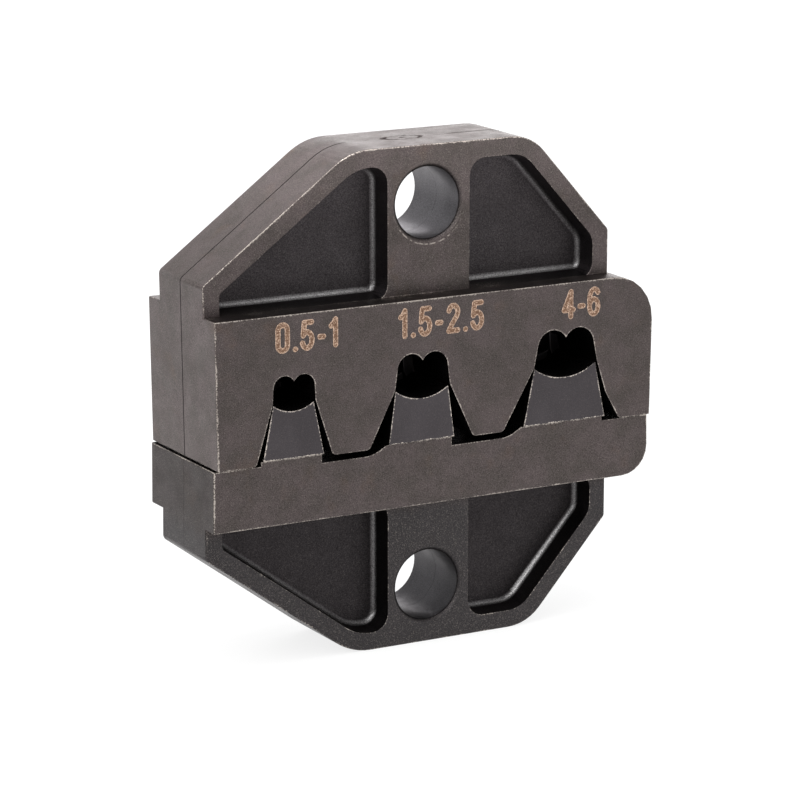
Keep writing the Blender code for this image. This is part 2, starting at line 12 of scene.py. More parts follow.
import bmesh
import bpy
import numpy as np
from bpy.props import FloatProperty, FloatVectorProperty, PointerProperty
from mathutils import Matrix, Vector

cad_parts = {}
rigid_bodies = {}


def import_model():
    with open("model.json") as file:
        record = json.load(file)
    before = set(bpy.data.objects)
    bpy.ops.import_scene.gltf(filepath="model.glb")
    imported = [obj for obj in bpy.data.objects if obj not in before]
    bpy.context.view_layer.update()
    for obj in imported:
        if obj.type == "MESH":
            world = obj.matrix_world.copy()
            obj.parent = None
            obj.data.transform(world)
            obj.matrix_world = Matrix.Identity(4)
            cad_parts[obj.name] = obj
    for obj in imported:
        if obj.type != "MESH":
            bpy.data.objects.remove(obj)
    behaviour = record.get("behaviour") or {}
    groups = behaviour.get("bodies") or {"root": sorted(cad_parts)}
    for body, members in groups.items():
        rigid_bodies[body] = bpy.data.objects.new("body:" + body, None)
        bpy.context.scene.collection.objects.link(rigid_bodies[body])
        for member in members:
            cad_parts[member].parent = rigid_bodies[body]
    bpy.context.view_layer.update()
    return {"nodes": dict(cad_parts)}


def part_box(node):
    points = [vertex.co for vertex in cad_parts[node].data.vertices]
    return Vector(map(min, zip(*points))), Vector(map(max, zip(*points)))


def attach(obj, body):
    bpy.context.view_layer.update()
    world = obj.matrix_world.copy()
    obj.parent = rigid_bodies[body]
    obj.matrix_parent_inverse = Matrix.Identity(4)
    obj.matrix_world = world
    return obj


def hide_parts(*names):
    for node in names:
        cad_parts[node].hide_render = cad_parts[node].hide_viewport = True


bl_info = {
    "name": "Crimping die set",
    "version": (1, 0, 0),
    "blender": (4, 5, 0),
    "location": "View3D > Sidebar > Die set",
    "description": "Dresses the solids of a crimping die set and builds its stage",
    "category": "Add Mesh",
}

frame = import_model()

MM = 0.001
UPPER = "upper_die"
LOWER = "lower_die"
PLATES = {"upper_front_plate": UPPER, "upper_rear_plate": UPPER,
          "lower_front_plate": LOWER, "lower_rear_plate": LOWER}
ANVILS = {f"{side}_anvil_{size}": LOWER
          for side in ("front", "rear") for size in ("small", "medium", "large")}
DOWELS = ("upper_dowel_left", "upper_dowel_right", "lower_dowel_left", "lower_dowel_right")

# Planes of the solids that the finish and the marks refer to
FRONT_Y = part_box("upper_front_plate")[0].y
CREST_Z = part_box("upper_front_plate")[1].z
TEETH_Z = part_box("upper_front_plate")[0].z
SIDE_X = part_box("upper_front_plate")[1].x
BAR_TOP_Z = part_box("lower_front_plate")[1].z
MIDDLE_Z = CREST_Z / 2
TAB_HEIGHT = 13.45 * MM
TAB_REACH = 4.4 * MM
UPPER_FOOT_Z = CREST_Z - TAB_HEIGHT
POCKET_FLOOR = 2.1 * MM
FLOOR_FILLET = 0.5 * MM
NEST_LOW_Z = TEETH_Z - 3 * MM
NEST_TOP_Z = 28.4 * MM
HOLE_RADIUS = 3.25 * MM
LOWER_HOLE_Z = 5.3 * MM
UPPER_HOLE_Z = CREST_Z - LOWER_HOLE_Z

# How near to a plane or a hole something has to be to count as part of it. The wall of a pocket
# starts below the tab's face, in radii of the rounding
ON_PLANE = 0.01 * MM
ON_FACE = 0.002 * MM
FOOT_SLACK = 0.1 * MM
SHOULDER_BAND = 0.2 * MM
HOLE_WALL = HOLE_RADIUS + 0.02 * MM
HOLE_SEAM = HOLE_RADIUS + 0.05 * MM
POCKET_START = HOLE_RADIUS + 0.2 * MM
HOLE_EDGE = HOLE_RADIUS + 0.6 * MM
NEST_EDGE_MARGIN = 1 * MM
NEST_FACE_MARGIN = 0.3 * MM
NEST_FACE_DEPTH = 0.5 * MM
FRONT_SKIN = 0.15 * MM
TAB_SKIN = 0.2 * MM
CREST_SKIN = 0.02 * MM
FLOOR_SLACK = 0.05 * MM
WALL_SLACK = 0.008 * MM
WALL_START = 1.5

# How much of a normal or of an edge has to run along an axis
SQUARE = 0.999
DEEP = 0.9
FACING = 0.9
STEEP = 0.5

# Joint between the two plates of a half
SEAM_Y = 0.12 * MM
CLOSED_SEAM = 0.012 * MM
SEAM_DEPTH = 0.1 * MM
SEAM_TOUCH = 0.001 * MM

# Rounding. Turns are in degrees: an edge that turns by less keeps its corner
NEST_ROUND = 0.05 * MM
POCKET_ROUND_SHARE = 0.5
ANVIL_ROUND_SHARE = 0.7
BORDER = 0.1 * MM
MERGE_WITHIN = 0.002 * MM
FLAT_TURN = 0.4
WEARING_TURN = 30
ROUNDING_TURNS = {"outer": 30, "nest": 60, "pocket": 60}
SMOOTH_TURN = 50
FLAT_FACE_WEIGHT = 100

# How far tumbling and use have worn the edges, by their place. The reaches and the start of a
# hole's rim are in radii of the rounding
WEAR = {"pocket": 0.5, "nest": 0.85, "hole": 0.0, "lower_tab": 0.6, "lower_tab_end": 0.2,
        "upper_tab": 0.9, "shoulder": 1.0, "bar": 0.9, "block": 0.7}
TAB_END = 4 * MM
# A thin bright line along the upper tab's foot
FOOT_BRIGHT_LINE = 0.4
FOOT_BAND = 0.03 * MM
HOLE_RIM_WEAR = 0.5
HOLE_RIM_START = -0.1
WEAR_LEFT = 0.4
NEST_WEAR_LEFT = 0.8
FULL_WEAR_REACH = 0.5
SIDE_WEAR_REACH = 0.6

# Painted light and shade on the oxide by the place of a face. In the upper hole and on the slopes it
# goes by how far up a face looks
PAINTED_LIGHT_LEVELS = {"lower_hole": 0.58, "lower_ledge": 0.75, "lower_side": 0.48, "end": 1.22,
         "lower_pocket": 0.75, "lower_tab": 0.56, "plain": 1.0}
HOLE_PAINTED_LIGHT = ((0.2, 0.9), (1.0, 1.5))
SLOPE_PAINTED_LIGHT = ((0.82, 0.98), (1.5, 0.75))
LOOKS_UP = (0.6, 0.95)
TONE_UNIT = 0.5

# Painted shade on the lip of the holes, in radii of the rounding
LIP_INNER = 0.6
LIP_OUTER = 1.05
LIP_LEVELS = (1, 0.4)

# Painted highlight along the pocket floors' fillets: its strength over the climb from the floor to
# the wall, the tilt at which it is full, its share where the fillet faces left or lies in the lower
# tab, and the tilts from which a corner shines fully
FILLET_PAINTED_GLINT = ((0, 0.2, 0.5, 0.9, 1), (0, 0.6, 1, 0.8, 0.2))
FULL_TILT = 0.7
LEFTWARD_GLINT = 0.3
LOWER_GLINT = 0.4
CORNER_TILT = 0.25
CORNER_DEPTH_TILT = 0.15

# Text of each mark with the places of its left and right end
MARKS = {
    "small": ("0.5-1", -16.60 * MM, -10.38 * MM),
    "medium": ("1.5-2.5", -4.40 * MM, 4.42 * MM),
    "large": ("4-6", 12.58 * MM, 16.72 * MM),
}
MARK_BASE_Z = 29.1 * MM

# Widths of the signs in millimetres
SIGN_WIDTHS = {"0": 1.42, "1": 0.98, "2": 1.42, "4": 1.50, "5": 1.42, "6": 1.40,
               "-": 0.86, ".": 0.46}

# Grid of a mark. Snap and smallest cell are shares of its pitch and of its square
MARK_PITCH = 0.035 * MM
MARK_MARGIN = 3 * MARK_PITCH
MARK_SNAP = 0.55
MARK_SMALLEST_CELL = 0.2
MARK_RIM = 0.13 * MM
MARK_FLAT_RELIEF = 0.55
MARK_RIM_RELIEF = 0.45
MARK_SKIN = 2.5
NARROWEST_SIGN = 0.02 * MM

# Camera of the photograph, in metres and degrees
CAMERA_PLACE = Vector((-0.15337, -0.27407, 0.0966))
CAMERA_YAW = 29.151
CAMERA_PITCH = 13.409
CAMERA_LENS = 159.3
CAMERA_CLIP = (0.01, 20)

# Lamps of the stage: place and diameter in metres, power in watts
LAMPS = {
    "key_left": ((-0.6, -0.35, 0.6), 0.8, 2.2),
    "overhead": ((-0.05, -0.05, 0.8), 0.35, 2.0),
    "back_low": ((0.6, 1.05, 0.42), 0.9, 5.0),
}
LAMPS_AIM = (0, 0, 0.023)

# Floor and world. The camera and the reflections see them paler than they light the part
FLOOR_REACH = 2.5
PAPER_GREY = 0.82
PAPER_ROUGHNESS = 0.9
SHADE_GREY = 0.28
FLOOR_GLOW = 0.80
WORLD_STRENGTH = 0.8
SEEN_STRENGTH = 1.0


class Noise(NamedTuple):
    """Cloudy noise with features about size across, longer along an axis where stretch is large."""

    size: float
    detail: float = 2.0
    roughness: float = 0.5
    shift: float = 0.0
    stretch: tuple = (1, 1, 1)


class Ramp(NamedTuple):
    """Smooth step of a value: least up to low, and most from high on."""

    low: float
    high: float
    least: float = 0.0
    most: float = 1.0


class Bump(NamedTuple):
    """Relief in a finish: the depth that a value of one stands for, and how strongly it shows."""

    depth: float
    strength: float


# Patterns that the finishes share
CHIPS = Noise(0.15 * MM, 3, 0.75, 0.21), Ramp(0.35, 0.65, -0.36, 0.38)
WORN_PATCHES = Noise(2.4 * MM, 2, 0.5, 0.77), Ramp(0.3, 0.7, -0.25, 0.2)
BARE_STEEL = Ramp(0.45, 0.95)
ANY_WEAR = Ramp(0.02, 0.2)
GRAIN_ROUGHNESS = 0.8
GRAIN_RANGE = (0.25, 0.75)
SPECK_SHIFT = 0.11
SPECK_RANGE = (0.58, 0.74)

# Oxide of the plates. Grain has its size and contrast, specks have their size and share
OXIDE_CLOUDS = Noise(2.6 * MM, 4, 0.65), Ramp(0.3, 0.7)
OXIDE_RUST = Noise(3 * MM, 3, 0.6, 0.33), Ramp(0.56, 0.78, 0.0, 0.35)
OXIDE_GRAIN = (0.09 * MM, 0.5)
OXIDE_SPECKS = (0.085 * MM, 0.24)
# How much of the cooler lower tab colour goes over the lower half
LOWER_TINT = Ramp(12 * MM, 14 * MM, 0.8, 0.0)
# Painted light towards the top of the upper half
UPPER_PAINTED_LIGHT = Ramp(37.5 * MM, 46 * MM, 1.0, 1.45)
# Share of painted shade on the holes' lips
LIP_PAINTED_SHADE = 0.75
POCKET_HIDES_SPECKS = 0.7
# Grain of the painted highlight on the fillets
GLINT_GRAIN = Ramp(0.35, 0.65, 0.2, 1.0)
# Painted highlight: bare steel brighter towards the crest
TOP_PAINTED_SHEEN = Ramp(CREST_Z - 2 * MM, CREST_Z, 1.0, 1.75)
OXIDE_ROUGHNESS = Noise(2.2 * MM, 3, 0.6, 0.4), Ramp(0.3, 0.7, 0.36, 0.46)
POCKET_ROUGHER = 0.06
HOLE_SMOOTHER = 0.05
OXIDE_WAVES = Noise(2.5 * MM, shift=0.5)
WAVE_BUMP = Bump(0.05 * MM, 0.3)
POLISH_BUMP = Bump(0.01 * MM, 0.6)
OXIDE_GRAIN_BUMP = Bump(0.016 * MM, 0.8)
HOLE_FLATTENS_GRAIN = 0.5
STREAKS = Noise(0.14 * MM, 3, 0.7, 0.6, (7, 1, 1)), Ramp(0.3, 0.7, 0.22, 0.46)
POLISH_DULLS = 0.85
# Shine taken off the inside faces along with their black painted shade
NEST_SHADE_DULLS = 0.85
EDGE_SHINE = (1.0, 0.985, 0.985)

# Polished oval on the crest, made of uneven rings, and the line beside it along the seam
SWIRL_CENTRE = (-0.3 * MM, 0.0, CREST_Z)
SWIRL_SQUASH = (2.1, 1.0, 0.4)
SWIRL_PITCH = 0.85 * MM
SWIRL_NOISE = Noise(1.1 * MM, shift=0.9)
SWIRL_WANDER = 2.2
SWIRL_LINE = Ramp(0.2, 0.85)
SWIRL_OVAL = Ramp(1.0 * MM, 2.35 * MM, 1.0, 0.0)
SWIRL_THIN = Noise(0.7 * MM, 2, 0.6, 0.45), Ramp(0.35, 0.6, 0.6, 1.0)
SEAM_SHINE = Ramp(0.10 * MM, 0.28 * MM, 0.8, 0.0)
SEAM_SHINE_START = Ramp(3 * MM, 5 * MM)

# Trace of the retaining screw's washer. The depth is left out of its distance from the hole's axis
WASHER_RING = 3.7 * MM
WASHER_LINE = Ramp(0.02 * MM, 0.09 * MM, 1.0, 0.0)
WASHER_LOW = Ramp(UPPER_HOLE_Z - 2.6 * MM, UPPER_HOLE_Z - 0.6 * MM, 0.75, 0.0)
WASHER_BREAKS = Noise(0.35 * MM, 3, 0.7, 0.65), Ramp(0.44, 0.6)
ANY_DEPTH = (1, 1000, 1)

# Ground steel of the anvils
ANVIL_CLOUDS = Noise(4 * MM, 3, 0.5, 0.7), Ramp(0.3, 0.7, 0.9, 1.08)
ANVIL_GRAIN = (0.10 * MM, 0.16)
ANVIL_SPECKS = (0.08 * MM, 0.09)
ANVIL_WORN_SHEEN = 1.4
ANVIL_LINES = Noise(0.09 * MM, stretch=(1, 1, 14))
ANVIL_ROUGHNESS = Ramp(0.3, 0.7, 0.36, 0.44)
ANVIL_LINE_BUMP = Bump(0.004 * MM, 0.5)
ANVIL_GRAIN_BUMP = Bump(0.008 * MM, 0.6)
FULL_SHINE = (1.0, 1.0, 1.0)
# Shine of the anvils' inside faces, cut down along with their black painted shade
NEST_SHADE_SHINE = (0.15, 0.15, 0.15)

# Bare steel of the dowels
DOWEL_RINGS = Noise(0.06 * MM, stretch=(30, 1, 30))
DOWEL_ROUGHNESS = Ramp(0.3, 0.7, 0.22, 0.34)
DOWEL_BUMP = Bump(0.002 * MM, 0.4)

# Burnt skin of the marks
MARK_BREAKS = Noise(0.2 * MM, 2, 0.7), Ramp(0.36, 0.56, 0.3, 1.0)
MARK_SPARKS = Noise(0.12 * MM, 2, 0.7, 0.3), Ramp(0.5, 0.66)
MARK_SCORCH = Noise(0.18 * MM, 2, 0.7, 0.8), Ramp(0.54, 0.66, 0.0, 0.5)
MARK_GRAIN = (0.07 * MM, 0.45)
MARK_RIM_SHARE = 0.75
MARK_SPARK_SHARE = 0.6
MARK_ROUGHNESS = Ramp(0.3, 0.7, 0.5, 0.65)
MARK_BUMP = Bump(0.01 * MM, 0.7)
MARK_METALLIC = 0.5


class DieSizes(bpy.types.PropertyGroup):
    """Sizes of the rounded edges and of the marks."""

    edge_round: FloatProperty(
        name="Edge rounding", description="Radius of the tumbled outer edges",
        default=0.12 * MM, min=0.02 * MM, max=0.5 * MM, unit="LENGTH")
    mark_height: FloatProperty(
        name="Mark height", description="Height of the digits over the nests",
        default=2.78 * MM, min=1 * MM, max=4 * MM, unit="LENGTH")
    mark_stroke: FloatProperty(
        name="Mark stroke", description="Width of the strokes of the digits",
        default=0.50 * MM, min=0.1 * MM, max=1 * MM, unit="LENGTH")
    mark_proud: FloatProperty(
        name="Mark relief", description="How far the burnt line stands off the steel",
        default=0.012 * MM, min=0.002 * MM, max=0.1 * MM, unit="LENGTH")


def colour_property(name, description, default):
    """A colour that the user can change."""
    return FloatVectorProperty(name=name, description=description, default=default,
                               size=3, min=0, max=1, subtype="COLOR")


class DieColours(bpy.types.PropertyGroup):
    """Colours of the finishes."""

    oxide: colour_property(
        "Oxide", "Warm brown-grey oxide of the plates", (0.100, 0.082, 0.081))
    oxide_deep: colour_property(
        "Deep oxide", "Darker patches of the oxide", (0.077, 0.066, 0.062))
    rust: colour_property(
        "Rust", "Browner clouds of the oxide", (0.115, 0.080, 0.062))
    # Lower tab: a cooler colour laid over the lower half
    lower_tab: colour_property(
        "Lower tab", "Cooler oxide of the lower tab", (0.088, 0.083, 0.086))
    # Cast floor: a rougher skin in the pockets, its darkness partly painted shade
    cast: colour_property(
        "Cast floor", "Darker, rougher skin inside the pockets", (0.042, 0.037, 0.039))
    # Pocket fillet: a painted highlight along the foot of the pockets' walls
    fillet: colour_property(
        "Pocket fillet", "Glint along the foot of the pockets' walls", (0.70, 0.69, 0.69))
    bore: colour_property(
        "Hole wall", "Smoother bluish wall of the retaining holes", (0.078, 0.075, 0.081))
    anvil: colour_property(
        "Anvil", "Smoother, cooler grey of the anvils", (0.069, 0.062, 0.066))
    # Nest wall: black painted shade inside the nests and between the halves
    nest: colour_property(
        "Nest wall", "Black scale inside the nests and between the halves", (0.038, 0.034, 0.035))
    worn: colour_property(
        "Worn edge", "Bare steel where the oxide has rubbed off", (0.46, 0.41, 0.37))
    dowel: colour_property(
        "Dowel pin", "Ground steel of the dowel pins", (0.42, 0.42, 0.43))
    dowel_ring: colour_property(
        "Dowel ring", "Brighter grinding rings on the dowel pins", (0.50, 0.50, 0.51))
    mark_line: colour_property(
        "Mark line", "Bright outline of the digits", (1.0, 0.74, 0.57))
    mark_fill: colour_property(
        "Mark fill", "Copper tone inside the digits", (0.205, 0.112, 0.066))
    mark_scorch: colour_property(
        "Mark scorch", "Burnt spots on the digits", (0.08, 0.040, 0.027))


class Recipe:
    """A material's node tree. Each call adds nodes and returns their output socket."""

    def __init__(self, name):
        self.material = bpy.data.materials.new(name)
        self.material.use_nodes = True
        self.nodes = self.material.node_tree.nodes
        self.links = self.material.node_tree.links
        self.shader = self.nodes["Principled BSDF"]
        self.attributes = {}
        self.position = self.node("ShaderNodeTexCoord").outputs["Object"]

    def node(self, kind, **settings):
        """A new node with these settings. This one call returns the node itself."""
        made = self.nodes.new(kind)
        for key, value in settings.items():
            setattr(made, key, value)
        return made

    def put(self, socket, value):
        """Link a source to a socket, or write a plain value on it."""
        if isinstance(value, bpy.types.NodeSocket):
            self.links.new(value, socket)
        elif socket.type == "RGBA":
            socket.default_value = (*value, 1.0)
        else:
            socket.default_value = value

    def noise(self, noise):
        """Value of a noise, around one half."""
        mapping = self.node("ShaderNodeMapping")
        self.put(mapping.inputs["Vector"], self.position)
        mapping.inputs["Scale"].default_value = [1 / part for part in noise.stretch]
        mapping.inputs["Location"].default_value = (noise.shift, noise.shift, noise.shift)
        made = self.node("ShaderNodeTexNoise")
        self.put(made.inputs["Vector"], mapping.outputs["Vector"])
        made.inputs["Scale"].default_value = 1 / noise.size
        made.inputs["Detail"].default_value = noise.detail
        made.inputs["Roughness"].default_value = noise.roughness
        return made.outputs["Fac"]

    def step(self, value, ramp):
        """A value taken over a ramp."""
        made = self.node("ShaderNodeMapRange", interpolation_type="SMOOTHSTEP")
        self.put(made.inputs["Value"], value)
        for key, number in zip(("From Min", "From Max", "To Min", "To Max"), ramp):
            made.inputs[key].default_value = number
        return made.outputs["Result"]

    def pattern(self, noise, ramp):
        """A noise taken over a ramp."""
        return self.step(self.noise(noise), ramp)

    def math(self, operation, first, second=0.0):
        """One sum of two values, or of one."""
        made = self.node("ShaderNodeMath", operation=operation)
        self.put(made.inputs[0], first)
        self.put(made.inputs[1], second)
        return made.outputs[0]

    def product(self, first, *others):
        """Product of two or more values."""
        for other in others:
            first = self.math("MULTIPLY", first, other)
        return first

    def rest(self, share):
        """What a share leaves of one."""
        return self.math("SUBTRACT", 1.0, share)

    def mix(self, share, first, second):
        """First colour with a share of the second."""
        made = self.node("ShaderNodeMix", data_type="RGBA")
        self.put(made.inputs[0], share)
        self.put(made.inputs[6], first)
        self.put(made.inputs[7], second)
        return made.outputs[2]

    def scale(self, colour, factor):
        """Colour brightened or dimmed by a factor."""
        made = self.node("ShaderNodeVectorMath", operation="SCALE")
        self.put(made.inputs[0], colour)
        self.put(made.inputs["Scale"], factor)
        return made.outputs[0]

    def attribute(self, name):
        """Number that the points or faces of a piece carry under this name."""
        if name not in self.attributes:
            made = self.node("ShaderNodeAttribute", attribute_name=name)
            self.attributes[name] = made.outputs["Fac"]
        return self.attributes[name]

    def axes(self):
        """Place on the piece as three values, X, Y and Z."""
        split = self.node("ShaderNodeSeparateXYZ")
        self.put(split.inputs[0], self.position)
        return split.outputs["X"], split.outputs["Y"], split.outputs["Z"]

    def bump(self, height, bump, normal=None):
        """Normal bent by the relief of a height, on top of another normal where one is given."""
        made = self.node("ShaderNodeBump")
        made.inputs["Strength"].default_value = bump.strength
        made.inputs["Distance"].default_value = bump.depth
        self.put(made.inputs["Height"], height)
        if normal is not None:
            self.put(made.inputs["Normal"], normal)
        return made.outputs["Normal"]

    def distance_to(self, point, squash):
        """Distance from a point, with each axis divided by its part of squash."""
        away = self.node("ShaderNodeVectorMath", operation="SUBTRACT")
        self.put(away.inputs[0], self.position)
        away.inputs[1].default_value = point
        narrowed = self.node("ShaderNodeVectorMath", operation="DIVIDE")
        self.put(narrowed.inputs[0], away.outputs[0])
        narrowed.inputs[1].default_value = squash
        length = self.node("ShaderNodeVectorMath", operation="LENGTH")
        self.put(length.inputs[0], narrowed.outputs[0])
        return length.outputs["Value"]

    def finish(self, colour, roughness, normal, metallic=1.0):
        """Hand the values to the shader and return the finished material."""
        self.put(self.shader.inputs["Base Color"], colour)
        self.put(self.shader.inputs["Roughness"], roughness)
        self.put(self.shader.inputs["Normal"], normal)
        self.shader.inputs["Metallic"].default_value = metallic
        return self.material


def worn_share(steel):
    """How far the oxide has gone: most along the middle of a rounded edge, broken by noise."""
    chips = steel.pattern(*CHIPS)
    patches = steel.pattern(*WORN_PATCHES)
    wear = steel.attribute("wear")
    kept = steel.math("ADD", steel.math("ADD", chips, patches), wear)
    return steel.product(steel.step(kept, BARE_STEEL), steel.step(wear, ANY_WEAR))


def grain_shade(steel, size, contrast):
    """The grain, and its brightness around one."""
    grain = steel.noise(Noise(size, roughness=GRAIN_ROUGHNESS))
    return grain, steel.step(grain, Ramp(*GRAIN_RANGE, 1 - contrast, 1 + contrast))


def specks(steel, size, share):
    """Fine bright grains."""
    return steel.pattern(Noise(size, 1, shift=SPECK_SHIFT), Ramp(*SPECK_RANGE, 0.0, share))


def washer_trace(steel, height, recess):
    """Broken bright arc that the washer of the retaining screw left under the upper hole."""
    away = steel.distance_to((0, 0, UPPER_HOLE_Z), ANY_DEPTH)
    off_line = steel.math("ABSOLUTE", steel.math("SUBTRACT", away, WASHER_RING))
    arc = steel.step(off_line, WASHER_LINE)
    low = steel.step(height, WASHER_LOW)
    broken = steel.product(steel.pattern(*WASHER_BREAKS), steel.rest(recess))
    return steel.product(arc, low, broken)


def crest_polish(steel, x, y):
    """Polish on the crest: an oval of uneven rings, and beside it a line along the seam.

    The rings are the sine of the distance from the oval's centre, led astray by noise.
    """
    away = steel.distance_to(SWIRL_CENTRE, SWIRL_SQUASH)
    astray = steel.product(steel.noise(SWIRL_NOISE), SWIRL_WANDER)
    turn = steel.math("ADD", steel.product(away, 2 * math.pi / SWIRL_PITCH), astray)
    line = steel.step(steel.math("SINE", turn), SWIRL_LINE)
    rings = steel.product(line, steel.pattern(*SWIRL_THIN), steel.step(away, SWIRL_OVAL))
    aside = steel.step(steel.math("ABSOLUTE", y), SEAM_SHINE)
    return steel.math("MAXIMUM", rings, steel.product(aside, steel.step(x, SEAM_SHINE_START)))


def oxide_colour(steel, colours, height, grain, shade):
    """Colour of the unworn oxide from its clouds, with painted light, shade and highlights by the
    places of the points and faces.
    """
    recess, hole = steel.attribute("recess"), steel.attribute("hole")
    colour = steel.mix(steel.pattern(*OXIDE_CLOUDS), colours.oxide_deep, colours.oxide)
    colour = steel.mix(steel.pattern(*OXIDE_RUST), colour, colours.rust)
    # A cooler colour over the lower half, below 12 to 14 mm
    colour = steel.mix(steel.step(height, LOWER_TINT), colour, colours.lower_tab)
    # Painted shade in the pockets, over their rougher cast skin
    colour = steel.mix(recess, colour, colours.cast)
    colour = steel.mix(hole, colour, colours.bore)
    # Painted light and shade by the place of each face, brighter towards the top of the upper half
    tone = steel.product(steel.attribute("tone"), 1 / TONE_UNIT, steel.step(height, UPPER_PAINTED_LIGHT))
    colour = steel.scale(colour, tone)
    # Painted shade on the holes' lips, in the nests' black
    lip = steel.product(steel.attribute("lip"), LIP_PAINTED_SHADE)
    colour = steel.scale(steel.mix(lip, colour, colours.nest), shade)
    bare = steel.rest(steel.math("MAXIMUM", hole, steel.product(recess, POCKET_HIDES_SPECKS)))
    bright = steel.product(specks(steel, *OXIDE_SPECKS), bare)
    colour = steel.mix(bright, colour, colours.worn)
    # Painted highlight on the pocket floors' fillets
    painted_glint = steel.product(steel.attribute("fillet"), steel.step(grain, GLINT_GRAIN))
    return steel.mix(painted_glint, colour, colours.fillet)


def oxide_finish(colours):
    """Plates: brown-grey oxide with clouds, grain and bright specks.

    The pockets are darker, partly from painted shade, with a painted highlight on a grainy fillet;
    the nests carry black painted shade inside and the holes are smoother with a lip of painted
    shade. Painted light and shade lighten the ends, slopes and upper half and darken the lower tab.
    The crest carries a polished oval of uneven rings. Faces that look up shine less at a low angle.
    """
    steel = Recipe("oxide_steel")
    x, y, height = steel.axes()
    recess, hole, inside = (steel.attribute(name) for name in ("recess", "hole", "inside"))
    grain, shade = grain_shade(steel, *OXIDE_GRAIN)
    colour = oxide_colour(steel, colours, height, grain, shade)
    worn = steel.math("MAXIMUM", worn_share(steel), washer_trace(steel, height, recess))
    # Worn edges with a painted highlight towards the crest
    colour = steel.mix(worn, colour, steel.scale(colours.worn, steel.step(height, TOP_PAINTED_SHEEN)))
    # Black painted shade on the faces inside the nests and between the halves
    colour = steel.mix(inside, colour, colours.nest)
    rough = steel.pattern(*OXIDE_ROUGHNESS)
    rough = steel.math("ADD", rough, steel.product(recess, POCKET_ROUGHER))
    rough = steel.math("SUBTRACT", rough, steel.product(hole, HOLE_SMOOTHER))
    polish = crest_polish(steel, x, y)
    normal = steel.bump(steel.noise(OXIDE_WAVES), WAVE_BUMP)
    normal = steel.bump(polish, POLISH_BUMP, normal)
    relief = steel.product(grain, steel.rest(steel.product(hole, HOLE_FLATTENS_GRAIN)))
    normal = steel.bump(relief, OXIDE_GRAIN_BUMP, normal)
    dulled = steel.math("MAXIMUM", steel.pattern(*STREAKS), steel.product(polish, POLISH_DULLS))
    dulled = steel.product(steel.attribute("upward"), dulled)
    # The shine of the inside faces is cut down with their painted shade
    dulled = steel.math("MAXIMUM", dulled, steel.product(inside, NEST_SHADE_DULLS))
    tint = steel.scale(EDGE_SHINE, steel.rest(dulled))
    steel.put(steel.shader.inputs["Specular Tint"], tint)
    return steel.finish(colour, rough, normal)


def anvil_finish(colours):
    """Anvils: the same oxide on a ground surface, with faint vertical grinding lines."""
    steel = Recipe("ground_oxide_steel")
    grain, shade = grain_shade(steel, *ANVIL_GRAIN)
    colour = steel.scale(colours.anvil, steel.product(steel.pattern(*ANVIL_CLOUDS), shade))
    colour = steel.mix(specks(steel, *ANVIL_SPECKS), colour, colours.worn)
    colour = steel.mix(worn_share(steel), colour, steel.scale(colours.worn, ANVIL_WORN_SHEEN))
    # Black painted shade on the anvils' inside faces, with their shine cut down
    inside = steel.attribute("inside")
    colour = steel.mix(inside, colour, colours.nest)
    steel.put(steel.shader.inputs["Specular Tint"], steel.mix(inside, FULL_SHINE, NEST_SHADE_SHINE))
    lines = steel.noise(ANVIL_LINES)
    normal = steel.bump(grain, ANVIL_GRAIN_BUMP, steel.bump(lines, ANVIL_LINE_BUMP))
    return steel.finish(colour, steel.step(lines, ANVIL_ROUGHNESS), normal)


def dowel_finish(colours):
    """Dowel pins: bare ground steel with fine rings from the grinding wheel."""
    steel = Recipe("ground_dowel_steel")
    rings = steel.noise(DOWEL_RINGS)
    colour = steel.mix(rings, colours.dowel, colours.dowel_ring)
    return steel.finish(colour, steel.step(rings, DOWEL_ROUGHNESS), steel.bump(rings, DOWEL_BUMP))


def mark_finish(colours):
    """Size marks: a laser-burnt copper tone with a brighter line round each stroke."""
    steel = Recipe("laser_mark")
    rim = steel.product(steel.attribute("rim"), MARK_RIM_SHARE)
    bright = steel.product(steel.pattern(*MARK_BREAKS), rim)
    sparks = steel.product(steel.pattern(*MARK_SPARKS), MARK_SPARK_SHARE)
    bright = steel.math("MAXIMUM", bright, sparks)
    colour = steel.mix(bright, colours.mark_fill, colours.mark_line)
    colour = steel.mix(steel.pattern(*MARK_SCORCH), colour, colours.mark_scorch)
    grain, shade = grain_shade(steel, *MARK_GRAIN)
    colour = steel.scale(colour, shade)
    rough = steel.step(grain, MARK_ROUGHNESS)
    return steel.finish(colour, rough, steel.bump(grain, MARK_BUMP), MARK_METALLIC)


def segment_distance(points, starts, ends):
    """Shortest distance from each point to a set of straight edges, in blocks of points."""
    block, shortest = 2000, 1e-18
    along = ends - starts
    length = np.maximum((along ** 2).sum(1), shortest)
    nearest = np.empty(len(points))
    for first in range(0, len(points), block):
        part = points[first:first + block, None, :] - starts
        share = np.clip((part * along).sum(2) / length, 0, 1)
        away = np.sqrt(((part - share[..., None] * along) ** 2).sum(2))
        nearest[first:first + block] = away.min(1)
    return nearest


def set_attribute(mesh, name, values, domain="POINT"):
    """Store a number from zero to one on each point or face of a mesh."""
    layer = mesh.attributes.new(name, "FLOAT", domain)
    layer.data.foreach_set("value", np.clip(values, 0, 1).astype(np.float32))


def read_vectors(items, name):
    """Vectors of a mesh's points, one row for each."""
    values = np.empty(len(items) * 3)
    items.foreach_get(name, values)
    return values.reshape(-1, 3)


def hole_distance(place):
    """Distance of each point from the axis of the nearer retaining hole."""
    hole_z = np.where(place[:, 2] > MIDDLE_Z, UPPER_HOLE_Z, LOWER_HOLE_Z)
    return np.hypot(place[:, 0], place[:, 2] - hole_z)


def beside_hole(point):
    """Whether a point is near enough to a retaining hole to be on its edge."""
    return hole_distance(np.array([point]))[0] < HOLE_EDGE


